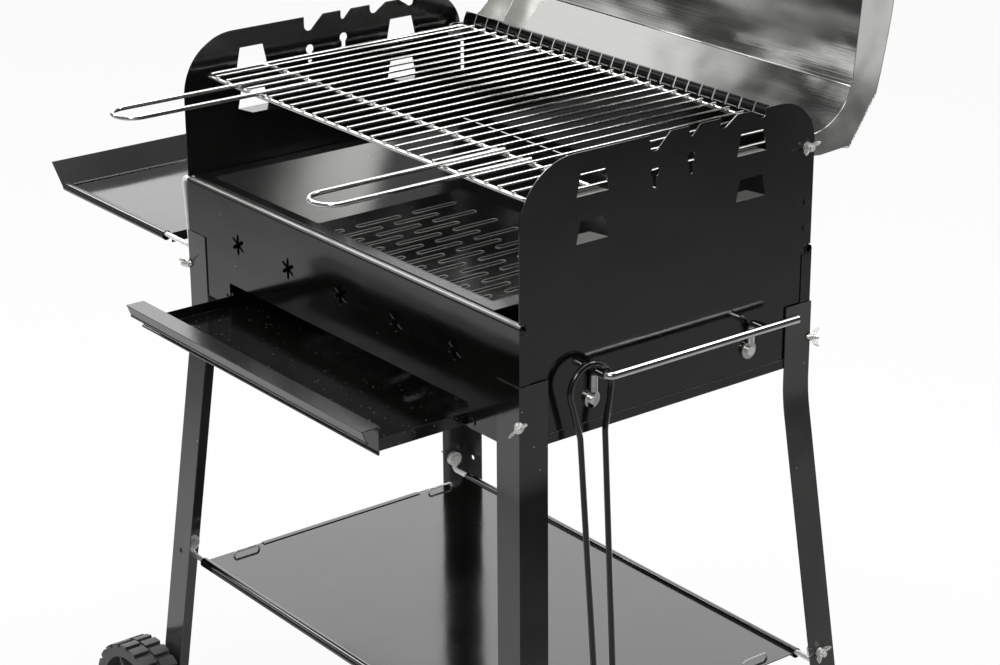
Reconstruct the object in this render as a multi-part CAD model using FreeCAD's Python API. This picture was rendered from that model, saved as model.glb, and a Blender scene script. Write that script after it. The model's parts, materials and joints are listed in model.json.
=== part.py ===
import FreeCAD, Part
import math
import os

# Charcoal grill cart with a hinged lid, in millimetres.
# It is built with the middle of the firebox over x = 0, y = 0 and the floor at z = 0:
# x runs to the right, y to the back, z up. At the end everything is shifted so that
# the origin is the middle of the bounding box, on the floor.

# General clearances
GAP = 0.05
SHAFT_CLEARANCE = 0.06
SHEET = 1.0

# Firebox
BOX_WIDTH = 570.0
BOX_DEPTH = 364.6
RIM_HEIGHT = 705.0
BOX_DROP = 124.6
WALL_RISE = 150.0
WALL_FRONT_CORNER = 63.0
WALL_REAR_CORNER = 46.0
HEM_HEIGHT = 9.6
RIM_TUBE_R = 4.5
RIM_TUBE_BORE_R = 3.5
CORNER_FLANGE = 13.0
HALF_W = BOX_WIDTH / 2
HALF_D = BOX_DEPTH / 2

# Air windows in the side walls: each tab is folded inwards as a support
WINDOW_FRONT_INSET = 85.3
WINDOW_REAR_INSET = 82.7
WINDOW_Y = (-HALF_D + WINDOW_FRONT_INSET, HALF_D - WINDOW_REAR_INSET)
WINDOW_SILL_RISE = (63.0, 108.0)
WINDOW_HEIGHT = 21.5
WINDOW_TOP_HALF = 14.5
WINDOW_SILL_HALF = 19.2
TAB_LENGTH = 21.0

# Spit notches in the top edge: upright side, far end of the slope, depth, round radius
SPIT_NOTCHES = ((-29.0, -4.0, 16.0, 6.0), (19.0, 33.0, 10.0, 3.0),
                (58.0, 79.0, 10.0, 5.0), (117.0, 97.0, 9.0, 5.0))
# Keyholes: y, lower end and upper end above the rim
KEYHOLES = ((-22.5, 98.0, 118.6), (22.0, 103.0, 124.6))
KEYHOLE_R = 5.0
KEYHOLE_SLOT_HALF = 2.6

# Front panel
VENT_COUNT = 5
VENT_PITCH = 94.2
VENT_DROP = 51.0
VENT_PETALS = 6
PETAL_LENGTH = 11.4
PETAL_HALF_WIDTH = 2.3
PETAL_INNER_R = 0.6
VENT_EYE_R = 2.4
TRAY_SLOT_INSET = 76.5
TRAY_SLOT_HALF = HALF_W - TRAY_SLOT_INSET
TRAY_SLOT_DROP = 98.8

# Wind guard behind the grate, with a comb along its top edge
GUARD_INSET = 8.0
GUARD_HALF = HALF_W - GUARD_INSET
GUARD_RISE = 115.0
GUARD_FOOT_RISE = 55.0
GUARD_FLANGE = 14.0
COMB_LENGTH = 10.5
COMB_LEAN_DEG = 25.0
COMB_SLIT = 2.0
COMB_SLITS = 27
COMB_PITCH = 2 * GUARD_HALF / (COMB_SLITS + 1)
RIVET_R = 2.0
RIVET_HEAD_R = 3.8
RIVET_HEAD_H = 1.2
GUARD_RIVET_RISE = (18.0, 44.0)

# Charcoal pan
PAN_CENTRE_X = -20.5
PAN_MOUTH_INSET_X = 43.5
PAN_MOUTH_INSET_Y = 19.3
PAN_SLOPE_X = 40.0
PAN_SLOPE_Y = 30.0
PAN_MOUTH_HALF_X = HALF_W - PAN_MOUTH_INSET_X
PAN_MOUTH_HALF_Y = HALF_D - PAN_MOUTH_INSET_Y
PAN_FLOOR_HALF_X = PAN_MOUTH_HALF_X - PAN_SLOPE_X
PAN_FLOOR_HALF_Y = PAN_MOUTH_HALF_Y - PAN_SLOPE_Y
PAN_DEPTH = 62.0
PAN_FLANGE_X = 20.0
PAN_FLANGE_Y = 13.5
PAN_SLOT_OFFSET_X = 10.9
PAN_SLOT_CENTRE_X = PAN_CENTRE_X + PAN_SLOT_OFFSET_X
PAN_SLOT_CENTRE_Y = -5.0
PAN_SLOT_WIDTH = 6.0
PAN_SLOT_COLUMNS = 20
PAN_SLOT_ROWS = 3
PAN_SLOT_MARGIN_X = 49.6
PAN_SLOT_MARGIN_Y = 41.0
PAN_SLOT_BRIDGE = 18.0
PAN_SLOT_PITCH_X = (2 * PAN_FLOOR_HALF_X - PAN_SLOT_MARGIN_X) / (PAN_SLOT_COLUMNS - 1)
PAN_SLOT_PITCH_Y = (2 * PAN_FLOOR_HALF_Y - PAN_SLOT_MARGIN_Y) / PAN_SLOT_ROWS
PAN_SLOT_LENGTH = PAN_SLOT_PITCH_Y - PAN_SLOT_BRIDGE

# Ash tray, drawn out by TRAY_OUT
TRAY_SLOT_CLEARANCE = 4.5
TRAY_HALF = TRAY_SLOT_HALF - TRAY_SLOT_CLEARANCE
TRAY_BACK_CLEARANCE = 22.6
TRAY_LENGTH = BOX_DEPTH - TRAY_BACK_CLEARANCE
TRAY_WALL = 12.0
TRAY_OUT = 104.0
TRAY_LIP_OVERLAP = 2.5
TRAY_LIP_HALF = TRAY_SLOT_HALF + TRAY_LIP_OVERLAP
TRAY_LIP_DEPTH = 19.5
TRAY_LIP_FRONT = 13.0
TRAY_LIP_TUCK = 5.0
TRAY_HEM_R = 1.4
TRAY_LIP_DROP = 95.5
TRAY_LIP_RAISE = 1.0
GUIDE_HEIGHT = 15.0
GUIDE_CLEARANCE = 0.8
GUIDE_TAB = 12.0

# Cooking grate
GRATE_SIDE_GAP = 10.0
GRATE_FRONT_INSET = 18.8
GRATE_BACK_INSET = 6.3
GRATE_HALF = HALF_W - GRATE_SIDE_GAP
GRATE_FRONT = GRATE_FRONT_INSET - HALF_D
GRATE_BACK = HALF_D - GRATE_BACK_INSET
GRATE_FRAME_R = 2.25
GRATE_CORNER = 8.0
GRATE_ROD_R = 1.4
GRATE_RODS = 26
GRATE_ROD_MARGIN = 25.0
GRATE_ROD_PITCH = 2 * (GRATE_HALF - GRATE_ROD_MARGIN) / (GRATE_RODS - 1)
CROSS_BAR_INSET = 74.0
CROSS_BAR_Y = GRATE_FRONT + CROSS_BAR_INSET
HANDLE_SPREAD = 8.75 * GRATE_ROD_PITCH
HANDLE_SHIFT = -0.5 * GRATE_ROD_PITCH
HANDLE_HALF = GRATE_ROD_PITCH
HANDLE_REACH = 160.0
HANDLE_TIP = GRATE_FRONT - HANDLE_REACH
HANDLE_R = 2.4

# Legs: angle section, upright along the box and then splayed
LEG_FLANGE = 34.0
LEG_SHEET = 1.2
LEG_TOP_DROP = 60.0
LEG_BEND_DROP = 138.0
LEG_BEND_LENGTH = 36.0
LEG_BEND_STEPS = 4
SPLAY_X = 0.105
SPLAY_Y = 0.080
BOX_BOLT_DROP = 98.0
SPARE_HOLE_INSET = 15.5
SPARE_HOLE_R = 3.0

# Wing bolts
BOLT_R = 3.0
BOLT_HEAD_R = 6.0
BOLT_HEAD_H = 3.0
BOLT_END = 3.0
NUT_HUB_R = 5.0
NUT_HUB_H = 6.0
WING_SPAN = 11.0
WING_TURN_DEG = 40.0
WING_RISE = 9.0
WING_SHEET = 2.0

# Wheels and their bolts, on the left legs
WHEEL_R = 75.0
WHEEL_WIDTH = 40.0
AXLE_INSET = 9.87
SPACER_LENGTH = 3.5
AXLE_R = 5.0
AXLE_HEAD_R = 8.0
AXLE_HEAD_H = 5.0
TYRE_RING = 11.0
LUG_HEIGHT = 4.0
LUG_COUNT = 24
LUG_SHARE = 0.62
WEB_SHEET = 6.0
HUB_R = 17.0
HUB_OVERHANG = 3.0
RIB_COUNT = 6
RIB_SHEET = 5.0
RIB_SETBACK = 6.0
HUB_CAP_H = 7.0
WASHER_R = 10.0
LOCK_RING_H = 2.0
LEG_ABOVE_AXLE = -22.0

# Foot caps, on the right legs
FOOT_WALL = 2.5
FOOT_HEIGHT = 26.0
FOOT_SOLE = 4.0

# Bottom shelf and the two rods that carry it
SHELF_DROP = 455.0
SHELF_BOLT_RISE = 15.0
SHELF_BOLT_DROP = SHELF_DROP - SHELF_BOLT_RISE
SHELF_INSET_Y = 0.3
SHELF_HALF_X = HALF_W
SHELF_HALF_Y = HALF_D - SHELF_INSET_Y
SHELF_ROLL_R = 5.5
SHELF_ROLL_BORE_R = 4.5
SHELF_ROD_R = 3.0
SHELF_ROLL_PROUD = 4.0
SHELF_HEM = 6.0
SHELF_HEM_INSET = 72.0
SHELF_HEM_HALF = SHELF_HALF_Y - SHELF_HEM_INSET
EYE_R = 9.0
EYE_SHEET = 6.4
CLIP_R = 1.25
CLIP_LENGTH = 33.0
CLIP_RISE = 5.0
CLIP_INSET_X = 11.0
CLIP_INSET_Y = 45.0
CLIP_X = SHELF_HALF_X - CLIP_INSET_X
CLIP_Y = SHELF_HALF_Y - CLIP_INSET_Y
CLIP_TAIL = 4.0

# Side shelf on two wire hangers that plug into the left ends of the rim tubes
SIDE_SHELF_DROP = 82.0
SIDE_SHELF_GAP = 58.0
SIDE_SHELF_WIDTH = 223.0
SIDE_SHELF_APRON = 10.0
SIDE_SHELF_INNER_X = -HALF_W - SIDE_SHELF_GAP
SIDE_SHELF_OUTER_X = SIDE_SHELF_INNER_X - SIDE_SHELF_WIDTH
SIDE_SHELF_LIP_OUT = 23.0
SIDE_SHELF_LIP_RISE = 24.0
SIDE_SHELF_BEAD_R = 2.0
SIDE_SHELF_BEAD_INSET = 3.0
HANGER_R = 2.75
HANGER_BEND = 5.0
HANGER_STANDOFF = 2.0
HANGER_LEAN = 7.0
HANGER_PLUG = 54.0

# Tool bar on the right wall
BAR_R = 4.0
BAR_STANDOFF = 26.0
BAR_DROP = 62.5
BAR_WALL_CLEARANCE = 0.3
BAR_FRONT_INSET = 84.3
BAR_REAR_INSET = 81.3
BAR_OVERHANG = 42.0
BAR_FRONT = BAR_FRONT_INSET - HALF_D
BAR_REAR_BRACKET = HALF_D - BAR_REAR_INSET
BAR_END = BAR_REAR_BRACKET + BAR_OVERHANG
BAR_BEND = 6.5
BAR_EYE_DROP = 92.0
BAR_EYE_R = 9.0
BAR_EYE_SHEET = 3.0
BAR_SCREW_R = 2.5
BAR_SCREW_HEAD_R = 4.6
BAR_SCREW_HEAD_H = 3.6
BAR_NUT_R = 4.6
BAR_NUT_H = 4.0

# Tongs, hanging on the front standoff of the tool bar
TONGS_R = 3.0
TONGS_LOOP_R = 24.5
TONGS_STANDOFF = 15.0
TONGS_X = HALF_W + TONGS_STANDOFF
TONGS_CONTACT_DEG = 45.0
TONGS_NECK = 46.0
TONGS_NECK_HALF = 15.0
TONGS_TIP_HALF = 11.0
TONGS_LENGTH = 356.0
TONGS_LEAN_DEG = 3.6
TONGS_NECK_BEND = 24.0

# Lid: its profile is given closed, forward from the hinge and up from the hinge
LID_SHEET = 0.8
LID_SIDE_INSET = 1.8
LID_HALF = HALF_W - LID_SIDE_INSET
HINGE_INSET = 10.3
HINGE_Y = HALF_D - HINGE_INSET
HINGE_RISE = 101.0
LID_OPEN_DEG = 95.9
LID_REAR = -6.7
LID_EDGE = 54.1
LID_CORNER_RISE = 61.3
LID_CREASE_IN = 51.7
LID_CREASE_RISE = 90.3
LID_CROWN_RISE = 100.8
LID_FRONT_INSET = 7.6
LID_FRONT = BOX_DEPTH - LID_FRONT_INSET
EAR_R = 11.0
LID_HANDLE_HALF = 90.0
LID_HANDLE_R = 5.0
LID_HANDLE_STANDOFF = 38.0
LID_HANDLE_BEND = 14.0
LID_SCREW_R = 2.5
LID_SCREW_HEAD_R = 5.0
LID_SCREW_HEAD_H = 2.4
LID_HANDLE_FOOT_R = 8.0
LID_HANDLE_FOOT_H = 3.0

# Places that follow from the sizes
BOX_BOTTOM = RIM_HEIGHT - BOX_DROP
WALL_TOP = RIM_HEIGHT + WALL_RISE
PANEL_IN = HALF_D + GAP
PANEL_OUT = PANEL_IN + SHEET
FLANGE_OUT = HALF_W + GAP + SHEET
RIM_TUBE_Y = PANEL_OUT - RIM_TUBE_R
RIM_TUBE_Z = RIM_HEIGHT - RIM_TUBE_R
LEG_IN_X = FLANGE_OUT + GAP
LEG_IN_Y = PANEL_OUT + GAP
AXLE_Z = WHEEL_R
HINGE_Z = RIM_HEIGHT + HINGE_RISE
GRATE_Z = RIM_HEIGHT + WINDOW_SILL_RISE[1] + GAP + GRATE_FRAME_R
SHELF_Z = RIM_HEIGHT - SHELF_DROP
SIDES = (("left", -1), ("right", 1))
ENDS = (("front", -1), ("rear", 1))

nodes = {}


def vec(x, y, z):
    return FreeCAD.Vector(x, y, z)


def block(x0, x1, y0, y1, z0, z1):
    low = vec(min(x0, x1), min(y0, y1), min(z0, z1))
    return Part.makeBox(abs(x1 - x0), abs(y1 - y0), abs(z1 - z0), low)


def rod(start, end, radius):
    along = end - start
    return Part.makeCylinder(radius, along.Length, start, along)


def rod_x(x0, x1, y, z, radius):
    return rod(vec(x0, y, z), vec(x1, y, z), radius)


def prism(points, sweep):
    face = Part.Face(Part.makePolygon(points + [points[0]]))
    return face.extrude(sweep)


def fuse(shapes):
    return shapes[0].multiFuse(shapes[1:]).removeSplitter()


def wire_path(points, bend):
    """Straight runs through the points, joined by tangent arcs of one bend radius."""
    edges = []
    start = points[0]
    for before, corner, after in zip(points, points[1:], points[2:]):
        inward = (before - corner).normalize()
        outward = (after - corner).normalize()
        half = inward.getAngle(outward) / 2
        reach = bend / math.tan(half)
        entry = corner + inward * reach
        leave = corner + outward * reach
        middle_way = (inward + outward).normalize()
        middle = corner + middle_way * (bend / math.sin(half) - bend)
        edges.append(Part.LineSegment(start, entry).toShape())
        edges.append(Part.Arc(entry, middle, leave).toShape())
        start = leave
    edges.append(Part.LineSegment(start, points[-1]).toShape())
    return Part.Wire(edges)


def sweep_round(path, start, along, radius):
    section = Part.Wire([Part.Circle(start, along, radius).toShape()])
    return path.makePipeShell([section], True, False)


def bent_rod(points, radius, bend):
    """A round rod along straight runs with rounded bends."""
    path = wire_path(points, bend)
    return sweep_round(path, points[0], points[1] - points[0], radius)


def placed(shape, origin, along, across):
    """Turn a shape made on +z, with its width along +x, to another direction."""
    turn = FreeCAD.Rotation(across, along.cross(across), along, "ZXY")
    moved = shape.copy()
    moved.Placement = FreeCAD.Placement(origin, turn)
    return moved


def wing_nut(origin, along, across):
    """Hub with a clear bore and two raised wings."""
    hub = Part.makeCone(NUT_HUB_R, NUT_HUB_R * 0.8, NUT_HUB_H)
    wings = []
    for way in (-1, 1):
        outline = [vec(way * NUT_HUB_R * 0.5, -WING_SHEET / 2, 0.8),
                   vec(way * WING_SPAN * 0.8, -WING_SHEET / 2, WING_RISE * 0.45),
                   vec(way * WING_SPAN, -WING_SHEET / 2, WING_RISE),
                   vec(way * WING_SPAN * 0.7, -WING_SHEET / 2, WING_RISE),
                   vec(way * NUT_HUB_R * 0.5, -WING_SHEET / 2, NUT_HUB_H)]
        wings.append(prism(outline, vec(0, WING_SHEET, 0)))
    bore = Part.makeCylinder(BOLT_R + GAP, WING_RISE + 2, vec(0, 0, -1))
    return placed(fuse([hub] + wings).cut(bore), origin, along, across)


def head_bolt(seat, along, length, radius, head_r, head_h):
    """Round-headed bolt: the head sits behind the seat, the shank runs along."""
    shank = rod(seat, seat + along * length, radius)
    head = rod(seat - along * head_h, seat, head_r)
    return fuse([head, shank])


# Firebox side walls
def corner_cutter(y_edge, inward, radius):
    """What a rounded upper corner of a side wall loses."""
    y_centre = y_edge + inward * radius
    z_centre = WALL_TOP - radius
    square = block(-HALF_W * 2, HALF_W * 2, y_edge - inward, y_centre, z_centre, WALL_TOP + 1)
    return square.cut(rod_x(-HALF_W * 2, HALF_W * 2, y_centre, z_centre, radius))


def spit_notch(x0, x1, upright, slope_end, depth, radius):
    way = 1 if slope_end > upright else -1
    y_round = upright + way * radius
    z_round = WALL_TOP - depth + radius
    tilt = math.atan2(WALL_TOP - z_round, abs(slope_end - y_round))
    touch_y = y_round + way * radius * math.sin(tilt)
    touch_z = z_round - radius * math.cos(tilt)
    outline = [vec(x0, upright, WALL_TOP + 1), vec(x0, upright, z_round), vec(x0, y_round, z_round),
               vec(x0, touch_y, touch_z), vec(x0, slope_end, WALL_TOP), vec(x0, slope_end, WALL_TOP + 1)]
    return fuse([prism(outline, vec(x1 - x0, 0, 0)), rod_x(x0, x1, y_round, z_round, radius)])


def side_wall(side):
    x_out = side * HALF_W
    x_in = side * (HALF_W - SHEET)
    x_clear = (side * (HALF_W - 2 * SHEET), side * (HALF_W + 2 * SHEET))
    wall = block(x_in, x_out, -HALF_D, HALF_D, BOX_BOTTOM, WALL_TOP)
    hem_end = HALF_D - CORNER_FLANGE - 1
    hem = block(x_out, x_out + side * SHEET, -hem_end, hem_end, BOX_BOTTOM, BOX_BOTTOM + HEM_HEIGHT)
    cuts = [corner_cutter(-HALF_D, 1, WALL_FRONT_CORNER), corner_cutter(HALF_D, -1, WALL_REAR_CORNER)]
    for upright, slope_end, depth, radius in SPIT_NOTCHES:
        cuts.append(spit_notch(x_clear[0], x_clear[1], upright, slope_end, depth, radius))
    for y, low, high in KEYHOLES:
        z_low = RIM_HEIGHT + low + KEYHOLE_SLOT_HALF
        z_high = RIM_HEIGHT + high - KEYHOLE_R
        cuts.append(rod_x(x_clear[0], x_clear[1], y, z_high, KEYHOLE_R))
        cuts.append(rod_x(x_clear[0], x_clear[1], y, z_low, KEYHOLE_SLOT_HALF))
        cuts.append(block(x_clear[0], x_clear[1], y - KEYHOLE_SLOT_HALF, y + KEYHOLE_SLOT_HALF,
                          z_low, z_high))
    tabs = []
    for y in WINDOW_Y:
        for rise in WINDOW_SILL_RISE:
            sill = RIM_HEIGHT + rise
            head = sill + WINDOW_HEIGHT
            near = y - WINDOW_SILL_HALF
            far = y + WINDOW_SILL_HALF
            near_top = y - WINDOW_TOP_HALF
            far_top = y + WINDOW_TOP_HALF
            outline = [vec(x_clear[0], near, sill), vec(x_clear[0], far, sill),
                       vec(x_clear[0], far_top, head), vec(x_clear[0], near_top, head)]
            cuts.append(prism(outline, vec(x_clear[1] - x_clear[0], 0, 0)))
            tip = x_out - side * (SHEET + TAB_LENGTH)
            foot = sill - SHEET
            tab = [vec(x_out, near, foot), vec(x_out, far, foot),
                   vec(tip, far_top, foot), vec(tip, near_top, foot)]
            tabs.append(prism(tab, vec(0, 0, SHEET)))
    for end in (-1, 1):
        y_in = end * (RIM_TUBE_Y - RIM_TUBE_R - GAP)
        z_low = RIM_TUBE_Z - RIM_TUBE_R - GAP
        cuts.append(block(x_clear[0], x_clear[1], end * (HALF_D + 1), y_in, z_low, RIM_HEIGHT + GAP))
        for rise in GUARD_RIVET_RISE:
            if end > 0:
                cuts.append(rod_x(x_clear[0], x_clear[1], guard_rivet_y(), RIM_HEIGHT + rise, RIVET_R + GAP))
    cuts.append(rod_x(x_clear[0], x_clear[1], HINGE_Y, HINGE_Z, BOLT_R + GAP))
    for end in (-1, 1):
        cuts.append(corner_bolt_hole(side, end))
    if side > 0:
        for y in (BAR_FRONT, BAR_REAR_BRACKET):
            cuts.append(rod_x(x_clear[0], x_clear[1], y, RIM_HEIGHT - BAR_EYE_DROP, BAR_SCREW_R + GAP))
    return fuse([wall, hem]).cut(fuse(cuts)).fuse(fuse(tabs)).removeSplitter()


def guard_rivet_y():
    return HALF_D - SHEET - GUARD_FLANGE / 2


# Corner bolts run outwards on the diagonal of each box corner
def diagonal(side, end):
    return vec(side, end, 0).normalize()


def box_bolt_corner(side, end):
    return vec(side * (LEG_IN_X + LEG_SHEET), end * (LEG_IN_Y + LEG_SHEET), RIM_HEIGHT - BOX_BOLT_DROP)


def box_bolt_grip():
    """From the leg's outer corner in to where the bolt head meets the side wall."""
    across = (LEG_IN_X + LEG_SHEET) - (HALF_W - SHEET - GAP)
    return across * math.sqrt(2) + BOLT_HEAD_R


def corner_bolt_hole(side, end):
    outside = box_bolt_corner(side, end) + diagonal(side, end) * 10
    inside = outside - diagonal(side, end) * 40
    return rod(inside, outside, BOLT_R + GAP)


# Front and rear panels, with a rolled rim and flanges around the side walls
def panel_blank(end):
    sheet = block(-FLANGE_OUT, FLANGE_OUT, end * PANEL_IN, end * PANEL_OUT, BOX_BOTTOM, RIM_TUBE_Z)
    tube = rod_x(-FLANGE_OUT, FLANGE_OUT, end * RIM_TUBE_Y, RIM_TUBE_Z, RIM_TUBE_R)
    bore = rod_x(-FLANGE_OUT - 1, FLANGE_OUT + 1, end * RIM_TUBE_Y, RIM_TUBE_Z, RIM_TUBE_BORE_R)
    flange_top = RIM_TUBE_Z - RIM_TUBE_R - 1
    flanges = []
    for side in (-1, 1):
        y_in = end * (PANEL_OUT - CORNER_FLANGE)
        flanges.append(block(side * (HALF_W + GAP), side * FLANGE_OUT, end * PANEL_OUT, y_in,
                             BOX_BOTTOM, flange_top))
    panel = fuse([sheet, tube] + flanges).cut(bore)
    holes = []
    for side in (-1, 1):
        holes.append(corner_bolt_hole(side, end))
        y_in = end * (PANEL_OUT + 1)
        y_out = end * (PANEL_IN - 1)
        holes.append(rod(vec(floor_rivet_x(side), y_in, floor_rivet_z()),
                         vec(floor_rivet_x(side), y_out, floor_rivet_z()), RIVET_R + GAP))
    return panel.cut(fuse(holes))


def flower_vent(x):
    z = RIM_HEIGHT - VENT_DROP
    petals = [Part.makeCylinder(VENT_EYE_R, 4 * SHEET)]
    for turn in range(VENT_PETALS):
        ellipse = Part.Ellipse(vec(0, 0, 0), PETAL_LENGTH / 2, PETAL_HALF_WIDTH).toShape()
        petal = Part.Face(Part.Wire([ellipse])).extrude(vec(0, 0, 4 * SHEET))
        petal.translate(vec(PETAL_INNER_R + PETAL_LENGTH / 2, 0, 0))
        petal.rotate(vec(0, 0, 0), vec(0, 0, 1), 90 + turn * 360.0 / VENT_PETALS)
        petals.append(petal)
    flower = fuse(petals)
    flower.rotate(vec(0, 0, 0), vec(1, 0, 0), 90)
    flower.translate(vec(x, -PANEL_OUT + 3 * SHEET, z))
    return flower


def build_firebox():
    for name, side in SIDES:
        nodes[name + "_side_wall"] = side_wall(side)
    front = panel_blank(-1)
    first = -VENT_PITCH * (VENT_COUNT - 1) / 2
    cuts = [flower_vent(first + VENT_PITCH * number) for number in range(VENT_COUNT)]
    cuts.append(block(-TRAY_SLOT_HALF, TRAY_SLOT_HALF, -PANEL_OUT - 1, -PANEL_IN + 1,
                      BOX_BOTTOM - 1, RIM_HEIGHT - TRAY_SLOT_DROP))
    nodes["front_panel"] = front.cut(fuse(cuts))
    nodes["rear_panel"] = panel_blank(1)


# Wind guard: stands on the rear rim and is riveted to the side walls through end flanges
def build_wind_guard():
    y_out = HALF_D - GAP
    y_in = y_out - SHEET
    z_foot = RIM_HEIGHT + 2 * GAP
    z_top = RIM_HEIGHT + GUARD_RISE
    x_end = HALF_W - SHEET - GAP
    plate = block(-GUARD_HALF, GUARD_HALF, y_in, y_out, z_foot, z_top)
    skirt = block(-x_end, x_end, y_in, y_out, z_foot, RIM_HEIGHT + GUARD_FOOT_RISE)
    lean = COMB_LENGTH * math.sin(math.radians(COMB_LEAN_DEG))
    rise = COMB_LENGTH * math.cos(math.radians(COMB_LEAN_DEG))
    comb = prism([vec(-GUARD_HALF, y_in, z_top), vec(-GUARD_HALF, y_out, z_top),
                  vec(-GUARD_HALF, y_out + lean, z_top + rise), vec(-GUARD_HALF, y_in + lean, z_top + rise)],
                 vec(2 * GUARD_HALF, 0, 0))
    flanges = []
    for side in (-1, 1):
        flanges.append(block(side * x_end, side * (x_end - SHEET), y_out, y_in - GUARD_FLANGE,
                             z_foot, RIM_HEIGHT + GUARD_FOOT_RISE))
    cuts = []
    first = -COMB_PITCH * (COMB_SLITS - 1) / 2
    for number in range(COMB_SLITS):
        x = first + number * COMB_PITCH
        cuts.append(block(x - COMB_SLIT / 2, x + COMB_SLIT / 2, y_in - 1, y_out + lean + 1,
                          z_top - COMB_SLIT, z_top + rise + 1))
    rivets = []
    for side in (-1, 1):
        for rise in GUARD_RIVET_RISE:
            z = RIM_HEIGHT + rise
            y = guard_rivet_y()
            cuts.append(rod_x(-HALF_W, HALF_W, y, z, RIVET_R + GAP))
            seat = vec(side * (HALF_W + GAP), y, z)
            along = vec(-side, 0, 0)
            rivets.append(head_bolt(seat, along, 3 * SHEET, RIVET_R, RIVET_HEAD_R, RIVET_HEAD_H))
    nodes["rear_wind_guard"] = fuse([plate, skirt, comb] + flanges).cut(fuse(cuts))
    nodes["guard_rivets"] = Part.makeCompound(rivets)


# Charcoal pan: a hopper with a slotted floor, and the flange that hangs it on the front and rear rims
def rectangle(half_x, half_y, z):
    corners = [vec(PAN_CENTRE_X - half_x, -half_y, z), vec(PAN_CENTRE_X + half_x, -half_y, z),
               vec(PAN_CENTRE_X + half_x, half_y, z), vec(PAN_CENTRE_X - half_x, half_y, z)]
    return Part.makePolygon(corners + [corners[0]])


def build_charcoal_pan():
    z_flange = RIM_HEIGHT + GAP
    z_floor = RIM_HEIGHT - PAN_DEPTH
    slope = math.hypot(PAN_DEPTH, PAN_MOUTH_HALF_X - PAN_FLOOR_HALF_X) / PAN_DEPTH
    wall = SHEET * slope
    z_top = z_flange + SHEET
    mouth_x = PAN_MOUTH_HALF_X + wall
    mouth_y = PAN_MOUTH_HALF_Y + wall
    outer = Part.makeLoft([rectangle(mouth_x, mouth_y, z_top),
                           rectangle(PAN_FLOOR_HALF_X + wall, PAN_FLOOR_HALF_Y + wall, z_floor - SHEET)],
                          True, True)
    inner = Part.makeLoft([rectangle(PAN_MOUTH_HALF_X, PAN_MOUTH_HALF_Y, z_top),
                           rectangle(PAN_FLOOR_HALF_X, PAN_FLOOR_HALF_Y, z_floor)], True, True)
    flange_x = PAN_MOUTH_HALF_X + PAN_FLANGE_X
    flange_y = PAN_MOUTH_HALF_Y + PAN_FLANGE_Y
    flange = block(PAN_CENTRE_X - flange_x, PAN_CENTRE_X + flange_x, -flange_y, flange_y, z_flange, z_top)
    mouth = block(PAN_CENTRE_X - mouth_x - GAP, PAN_CENTRE_X + mouth_x + GAP, -mouth_y - GAP, mouth_y + GAP,
                  z_flange - SHEET, z_top + SHEET)
    slots = []
    straight = PAN_SLOT_LENGTH / 2 - PAN_SLOT_WIDTH / 2
    for column in range(PAN_SLOT_COLUMNS):
        x = PAN_SLOT_CENTRE_X + (column - (PAN_SLOT_COLUMNS - 1) / 2) * PAN_SLOT_PITCH_X
        rows = (-1, 0, 1) if column % 2 == 0 else (-0.5, 0.5)
        for row in rows:
            y = PAN_SLOT_CENTRE_Y + row * PAN_SLOT_PITCH_Y
            slot = [block(x - PAN_SLOT_WIDTH / 2, x + PAN_SLOT_WIDTH / 2, y - straight, y + straight,
                          z_floor - 3 * SHEET, z_floor + 3 * SHEET)]
            for way in (-1, 1):
                end = vec(x, y + way * straight, z_floor - 3 * SHEET)
                slot.append(Part.makeCylinder(PAN_SLOT_WIDTH / 2, 6 * SHEET, end))
            slots.append(fuse(slot))
    nodes["charcoal_pan"] = outer.cut(inner).cut(Part.makeCompound(slots))
    nodes["charcoal_pan_flange"] = flange.cut(mouth)


# Ash tray, its folded front lip and the two halves of the box floor that carry and guide it
def floor_rivet_x(side):
    return side * (TRAY_SLOT_HALF + SHEET + GUIDE_TAB / 2)


def floor_rivet_z():
    return BOX_BOTTOM + GUIDE_HEIGHT / 2


def tray_floor_z():
    return BOX_BOTTOM + SHEET + GAP


def tray_front_y():
    return -PANEL_OUT - TRAY_OUT


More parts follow.
